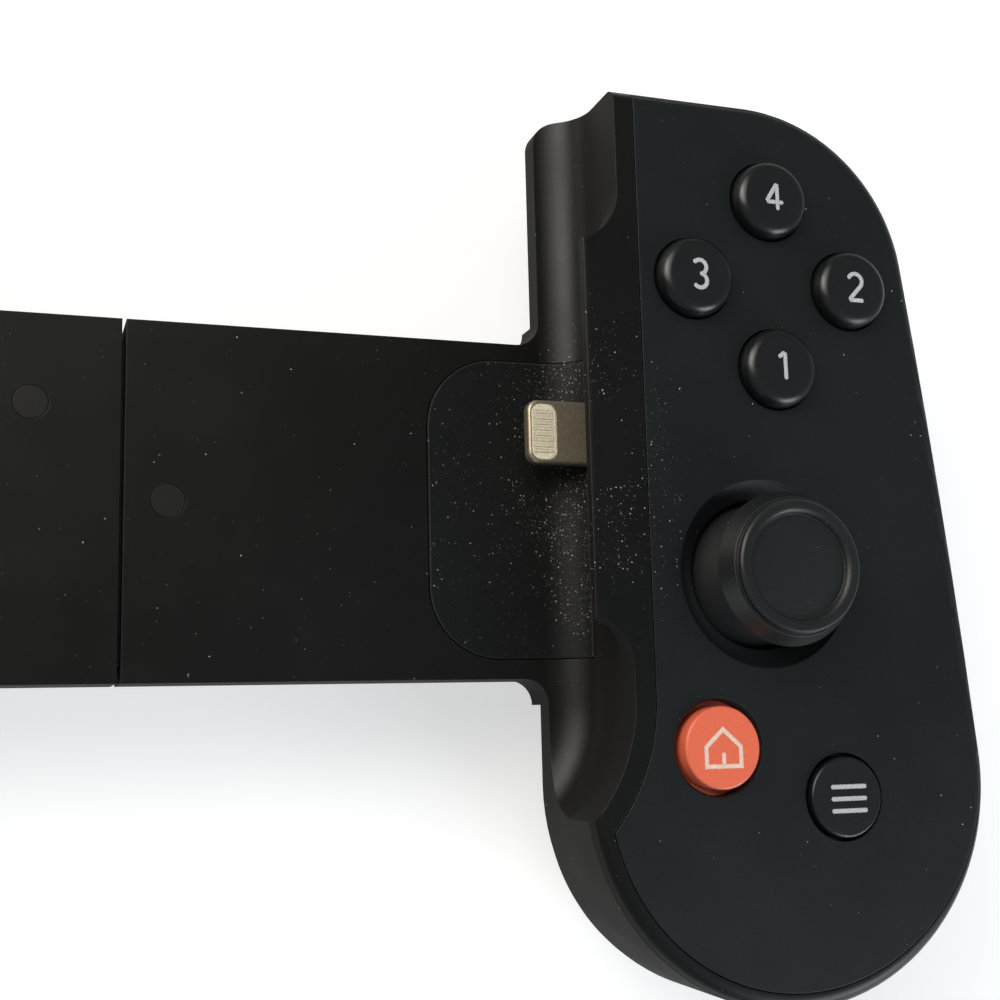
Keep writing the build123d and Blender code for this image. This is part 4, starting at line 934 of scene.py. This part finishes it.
@dataclass
class SoftInsides:
    """What stretches, unfolds or twists when a piece moves. Sizes are in millimetres."""

    workshop: Workshop
    turns: int = 22
    steps_a_turn: int = 14
    wire: float = 0.5
    wire_sides: int = 8
    ribbon_width: float = 8.0
    ribbon_thickness: float = 0.3
    ribbon_solid: float = 0.27
    fold_radius: float = 0.5
    fold_steps: int = 6
    far_fold: float = 39.6
    near_fold: float = 22.4
    torsion_turns: int = 4
    torsion_pitch: float = 0.5
    torsion_radius: float = 1.25
    torsion_wire: float = 0.4
    short_leg: float = 1.5
    long_leg: float = 4.8

    def wire_end(self, shape: Shape, place: Vector, thickness: float) -> None:
        """Adds a round face that looks along Y, the end of a wire, to a shape."""
        bmesh.ops.create_circle(
            shape, cap_ends=True, radius=thickness * MM / 2, segments=self.wire_sides,
            matrix=Matrix.Translation(place) @ Matrix.Rotation(math.pi / 2, 4, "X"),
        )

    def return_spring(self, side: Side) -> None:
        """A coil spring from the middle of the rail to the grip."""
        node = f"{side.word}_return_spring"
        low, high = (Vector(corner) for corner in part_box(node))
        axis_y, axis_z = (low.y + high.y) / 2, (low.z + high.z) / 2
        radius = (high.z - low.z) / 2 - self.wire * MM / 2
        start_x, end_x = (low.x, high.x) if side is Side.RIGHT else (high.x, low.x)
        centre = Vector((start_x + side.sign * self.wire * MM / 2, axis_y, axis_z))
        run = (end_x - start_x) - side.sign * self.wire * MM
        steps = self.turns * self.steps_a_turn
        shape = bmesh.new()
        self.wire_end(shape, centre + Vector((0, 0, radius)), self.wire)
        geom = list(shape.verts) + list(shape.edges) + list(shape.faces)
        bmesh.ops.spin(
            shape, geom=geom, cent=centre, axis=(1, 0, 0), dvec=(run / steps, 0, 0),
            angle=side.sign * self.turns * math.tau, steps=steps, use_duplicate=False,
        )
        made = self.workshop.piece(f"{side.word}_spring_coil", shape, "spring_steel")
        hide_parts(node)
        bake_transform(made)

    def ribbon_path(self, low: Vector, high: Vector, side: Side) -> list[Vector]:
        """The folded line of a ribbon cable's middle.

        Args:
            low: lowest corner of the CAD ribbon.
            high: highest corner of it.
            side: which half it lies in.

        Returns:
            Points from the rail's middle to the board.
        """
        sign, half = side.sign, self.ribbon_thickness * MM / 2
        start, end = (low.x, high.x) if side is Side.RIGHT else (high.x, low.x)
        end -= sign * half
        middle_y = (low.y + high.y) / 2
        bottom = low.z + half
        levels = [bottom + 4 * self.fold_radius * MM, bottom + 2 * self.fold_radius * MM, bottom]
        points = [Vector((start, middle_y, levels[0]))]
        for level, fold_x, turn in ((0, self.far_fold, 1.0), (1, self.near_fold, -1.0)):
            middle_z = (levels[level] + levels[level + 1]) / 2
            for step in range(self.fold_steps + 1):
                angle = math.pi / 2 - math.pi * step / self.fold_steps
                across = turn * math.cos(angle) * self.fold_radius * MM
                rise = math.sin(angle) * self.fold_radius * MM
                points.append(Vector((sign * (fold_x * MM + across), middle_y, middle_z + rise)))
        points.append(Vector((end - sign * self.fold_radius * MM, middle_y, levels[2])))
        points.append(Vector((end, middle_y, levels[2] + self.fold_radius * MM)))
        points.append(Vector((end, middle_y, high.z)))
        return points

    def ribbon(self, side: Side) -> None:
        """A folded flat cable from the rail's middle to the grip's board."""
        node = f"{side.word}_ribbon_cable"
        low, high = (Vector(corner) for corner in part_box(node))
        path = self.ribbon_path(low, high, side)
        across = Vector((0, self.ribbon_width * MM / 2, 0))
        shape = bmesh.new()
        edge = shape.edges.new([shape.verts.new(path[0] + way) for way in (-across, across)])
        for before, after in zip(path, path[1:]):
            grown = bmesh.ops.extrude_edge_only(shape, edges=[edge])["geom"]
            bmesh.ops.translate(shape, verts=parts(grown, bmesh.types.BMVert), vec=after - before)
            edge = parts(grown, bmesh.types.BMEdge)[0]
        bmesh.ops.solidify(shape, geom=list(shape.faces), thickness=self.ribbon_solid * MM)
        made = self.workshop.piece(f"{side.word}_ribbon", shape, "ribbon_film")
        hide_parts(node)
        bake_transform(made)

    def pushed(self, shape: Shape, end: list, step: Vector) -> list:
        """Draws a wire's end face onward and gives the new end face."""
        grown = bmesh.ops.extrude_face_region(shape, geom=end)["geom"]
        bmesh.ops.translate(shape, verts=parts(grown, bmesh.types.BMVert), vec=step)
        return parts(grown, bmesh.types.BMFace)

    def trigger_spring(self, side: Side) -> None:
        """A torsion spring round the trigger's pin, from the trigger to the shell."""
        node = f"{side.word}_trigger_spring"
        low, high = (Vector(corner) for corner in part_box(node))
        slope = self.torsion_pitch / (math.tau * self.torsion_radius)
        inset = (self.torsion_wire / 2 + slope * self.short_leg) * MM
        start_x = low.x + inset if side is Side.RIGHT else high.x - inset
        run = side.sign * self.torsion_turns * self.torsion_pitch * MM
        axis_y, axis_z = low.y + self.long_leg * MM, (low.z + high.z) / 2
        centre = Vector((start_x, axis_y, axis_z))
        way = Vector((side.sign * slope, -1.0, 0.0)).normalized() * MM
        tip = centre + Vector((0.0, 0.0, self.torsion_radius * MM)) - way * self.short_leg
        shape = bmesh.new()
        self.wire_end(shape, tip, self.torsion_wire)
        end = self.pushed(shape, list(shape.faces), way * self.short_leg)
        steps = self.torsion_turns * self.steps_a_turn
        geom = list(end[0].verts) + list(end[0].edges) + end
        last = bmesh.ops.spin(
            shape, geom=geom, cent=centre, axis=(1, 0, 0), dvec=(run / steps, 0, 0),
            angle=self.torsion_turns * math.tau, steps=steps, use_duplicate=False,
        )["geom_last"]
        self.pushed(shape, parts(last, bmesh.types.BMFace), way * self.long_leg)
        made = self.workshop.piece(f"{side.word}_torsion_spring", shape, "spring_steel")
        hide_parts(node)
        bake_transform(made)

    def build(self) -> None:
        """Makes the springs and the ribbons."""
        for side in Side:
            self.return_spring(side)
            self.ribbon(side)
            self.trigger_spring(side)


PAIRED_NODES: dict[str, str] = {
    "front_shell": "shell_black",
    "face_plate": "plate_black",
    "back_cover": "back_black",
    "sleeve_cover": "bridge_black",
    "grip_screws": "screw_black",
    "tray_plug": "tray_plug_black",
    "phone_pad": "pad_rubber",
    "board": "board_green",
    "membrane": "membrane_silicone",
    "stick_housing": "inner_nylon",
    "stick_yoke": "inner_nylon",
    "stick_block": "inner_nylon",
    "stick_arch": "inner_nylon",
    "stick_shaft": "spring_steel",
    "stick_cap": "stick_rubber",
    "return_spring": "spring_steel",
    "ribbon_cable": "ribbon_film",
    "trigger_pin": "spring_steel",
    "trigger_spring": "spring_steel",
    "trigger": "trigger_black",
    "bumper": "trigger_black",
}
SINGLE_NODES: dict[str, str] = {
    "centre_rail": "rail_grey",
    "phone_plug_shell": "plug_champagne",
    "phone_plug_insert": "insert_cream",
    "phone_plug_contacts": "contact_pale",
    "phone_plug_board": "board_green",
    "charge_socket": "spring_steel",
    "status_light": "light_lens",
    "headphone_jack": "inner_nylon",
    "home_button": "home_orange",
    "menu_button": "menu_black",
    "options_button": "menu_black",
    "capture_button": "menu_black",
    "direction_pad": "key_black",
    "direction_pad_spider": "inner_nylon",
}


@dataclass
class NodeFinishes:
    """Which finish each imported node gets."""

    finishes: Finishes

    def build(self) -> None:
        """Dresses every node; the face buttons share one finish."""
        for node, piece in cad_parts.items():
            side, _, rest = node.partition("_")
            name = SINGLE_NODES.get(node) or (
                PAIRED_NODES[rest] if side in ("right", "left") else "key_black"
            )
            self.finishes.dress(piece, name)
            LOG.info("%s is %s", node, name)


@dataclass
class Studio:
    """Camera, floor and soft lights."""

    eye: Colour = (-10.635, -19.346, 158.027)
    turn: tuple = (0.9831083525, 0.0798982477, -0.1646597784, 0.0011809583)
    lens: float = 52.10
    film: float = 36.0
    clip: tuple[float, float] = (0.01, 20.0)
    floor_reach: float = 1.6
    floor_drop: float = 0.1
    floor_roughness: float = 0.9
    world_low: float = 0.16
    world_high: float = 0.34
    world_warm: Colour = (1.0, 0.96, 0.9)
    world_cool: Colour = (0.8, 0.93, 1.0)
    world_way: Colour = (0.62, -0.78, 0.0)
    world_range: tuple[float, float] = (-0.7, 0.7)
    floor_albedo: float = 0.55
    floor_glow: float = 0.6
    lamps: tuple = (
        ("warm_left", (-0.44, 0.3, 0.4), 0.4, 2.4, (1.0, 0.93, 0.84)),
        ("cool_right", (0.42, -0.4, 0.27), 0.3, 1.8, (0.86, 0.93, 1.0)),
        ("soft_top", (-0.34, 0.42, 0.62), 0.6, 3.4, (1.0, 0.99, 0.97)),
    )
    aim: Colour = (0.03, 0.0, 0.015)

    def camera(self) -> None:
        """The photograph's viewpoint."""
        data = bpy.data.cameras.new("photo_view")
        data.lens, data.sensor_width = self.lens, self.film
        data.clip_start, data.clip_end = self.clip
        made = shown("photo_view", data)
        made.location = Vector(self.eye) * MM
        made.rotation_mode = "QUATERNION"
        made.rotation_quaternion = Quaternion(self.turn)
        bpy.context.scene.camera = made

    def seen_white(self, graph: Graph, glossy: bool) -> Socket:
        """1 for the rays that should find a white background."""
        path = graph.node("ShaderNodeLightPath").outputs
        rays = [path["Is Camera Ray"], path["Is Transmission Ray"]]
        rays += [path["Is Glossy Ray"]] if glossy else []
        total = rays[0]
        for ray in rays[1:]:
            total = graph.math("MAXIMUM", total, ray)
        return total

    def floor(self) -> None:
        """A plain pale floor under the controller."""
        shape = bmesh.new()
        bmesh.ops.create_grid(shape, x_segments=2, y_segments=2, size=self.floor_reach)
        bmesh.ops.translate(shape, verts=shape.verts, vec=(0, 0, -self.floor_drop * MM))
        data = bpy.data.meshes.new("floor")
        shape.to_mesh(data)
        shape.free()
        made = shown("floor", data)
        material, graph, shader = blank_material("floor_white")
        for name, value in (
            ("Base Color", opaque((self.floor_albedo,) * 3)),
            ("Roughness", self.floor_roughness),
            ("Emission Color", opaque((1.0, 1.0, 1.0))),
            ("Emission Strength", graph.times(self.seen_white(graph, True), self.floor_glow)),
        ):
            graph.feed(shader.inputs[name], value)
        data.materials.append(material)

    def world(self) -> None:
        """Even soft light, with white behind it for the camera."""
        made = bpy.data.worlds.new("studio")
        bpy.context.scene.world = made
        made.use_nodes = True
        graph = Graph(made.node_tree)
        background = made.node_tree.nodes["Background"]
        sky = graph.node("ShaderNodeTexCoord").outputs["Generated"]
        near = graph.ramp(graph.vector("DOT_PRODUCT", sky, self.world_way), *self.world_range)
        tint = graph.mix(near, opaque(self.world_warm), opaque(self.world_cool))
        level = graph.plus(self.world_low, graph.times(near, self.world_high - self.world_low))
        seen = self.seen_white(graph, False)
        graph.feed(background.inputs["Color"], graph.mix(seen, tint, opaque((1.0, 1.0, 1.0))))
        graph.feed(background.inputs["Strength"], graph.math("MAXIMUM", seen, level))

    def lights(self) -> None:
        """Large soft lamps."""
        for name, place, size, power, colour in self.lamps:
            data = bpy.data.lights.new(name, "AREA")
            data.size, data.energy, data.color = size, power, colour
            made = shown(name, data)
            made.location = place
            facing = Vector(self.aim) - Vector(place)
            made.rotation_euler = facing.to_track_quat("-Z", "Y").to_euler()

    def build(self) -> None:
        """Sets up the studio."""
        self.camera()
        self.floor()
        self.world()
        self.lights()
        bpy.context.scene.view_settings.view_transform = "Standard"


def main() -> None:
    """Builds everything in order."""
    logging.basicConfig(level=logging.INFO, format="%(name)s: %(message)s")
    Studio().build()
    EffectGroups().build()
    finishes = Finishes()
    workshop = Workshop(finishes)
    NodeFinishes(finishes).build()
    Marks(workshop).build()
    SocketTrim(workshop).build()
    SoftInsides(workshop).build()
    LOG.info("made %d pieces", len(workshop.made))


if __name__ == "__main__":
    main()
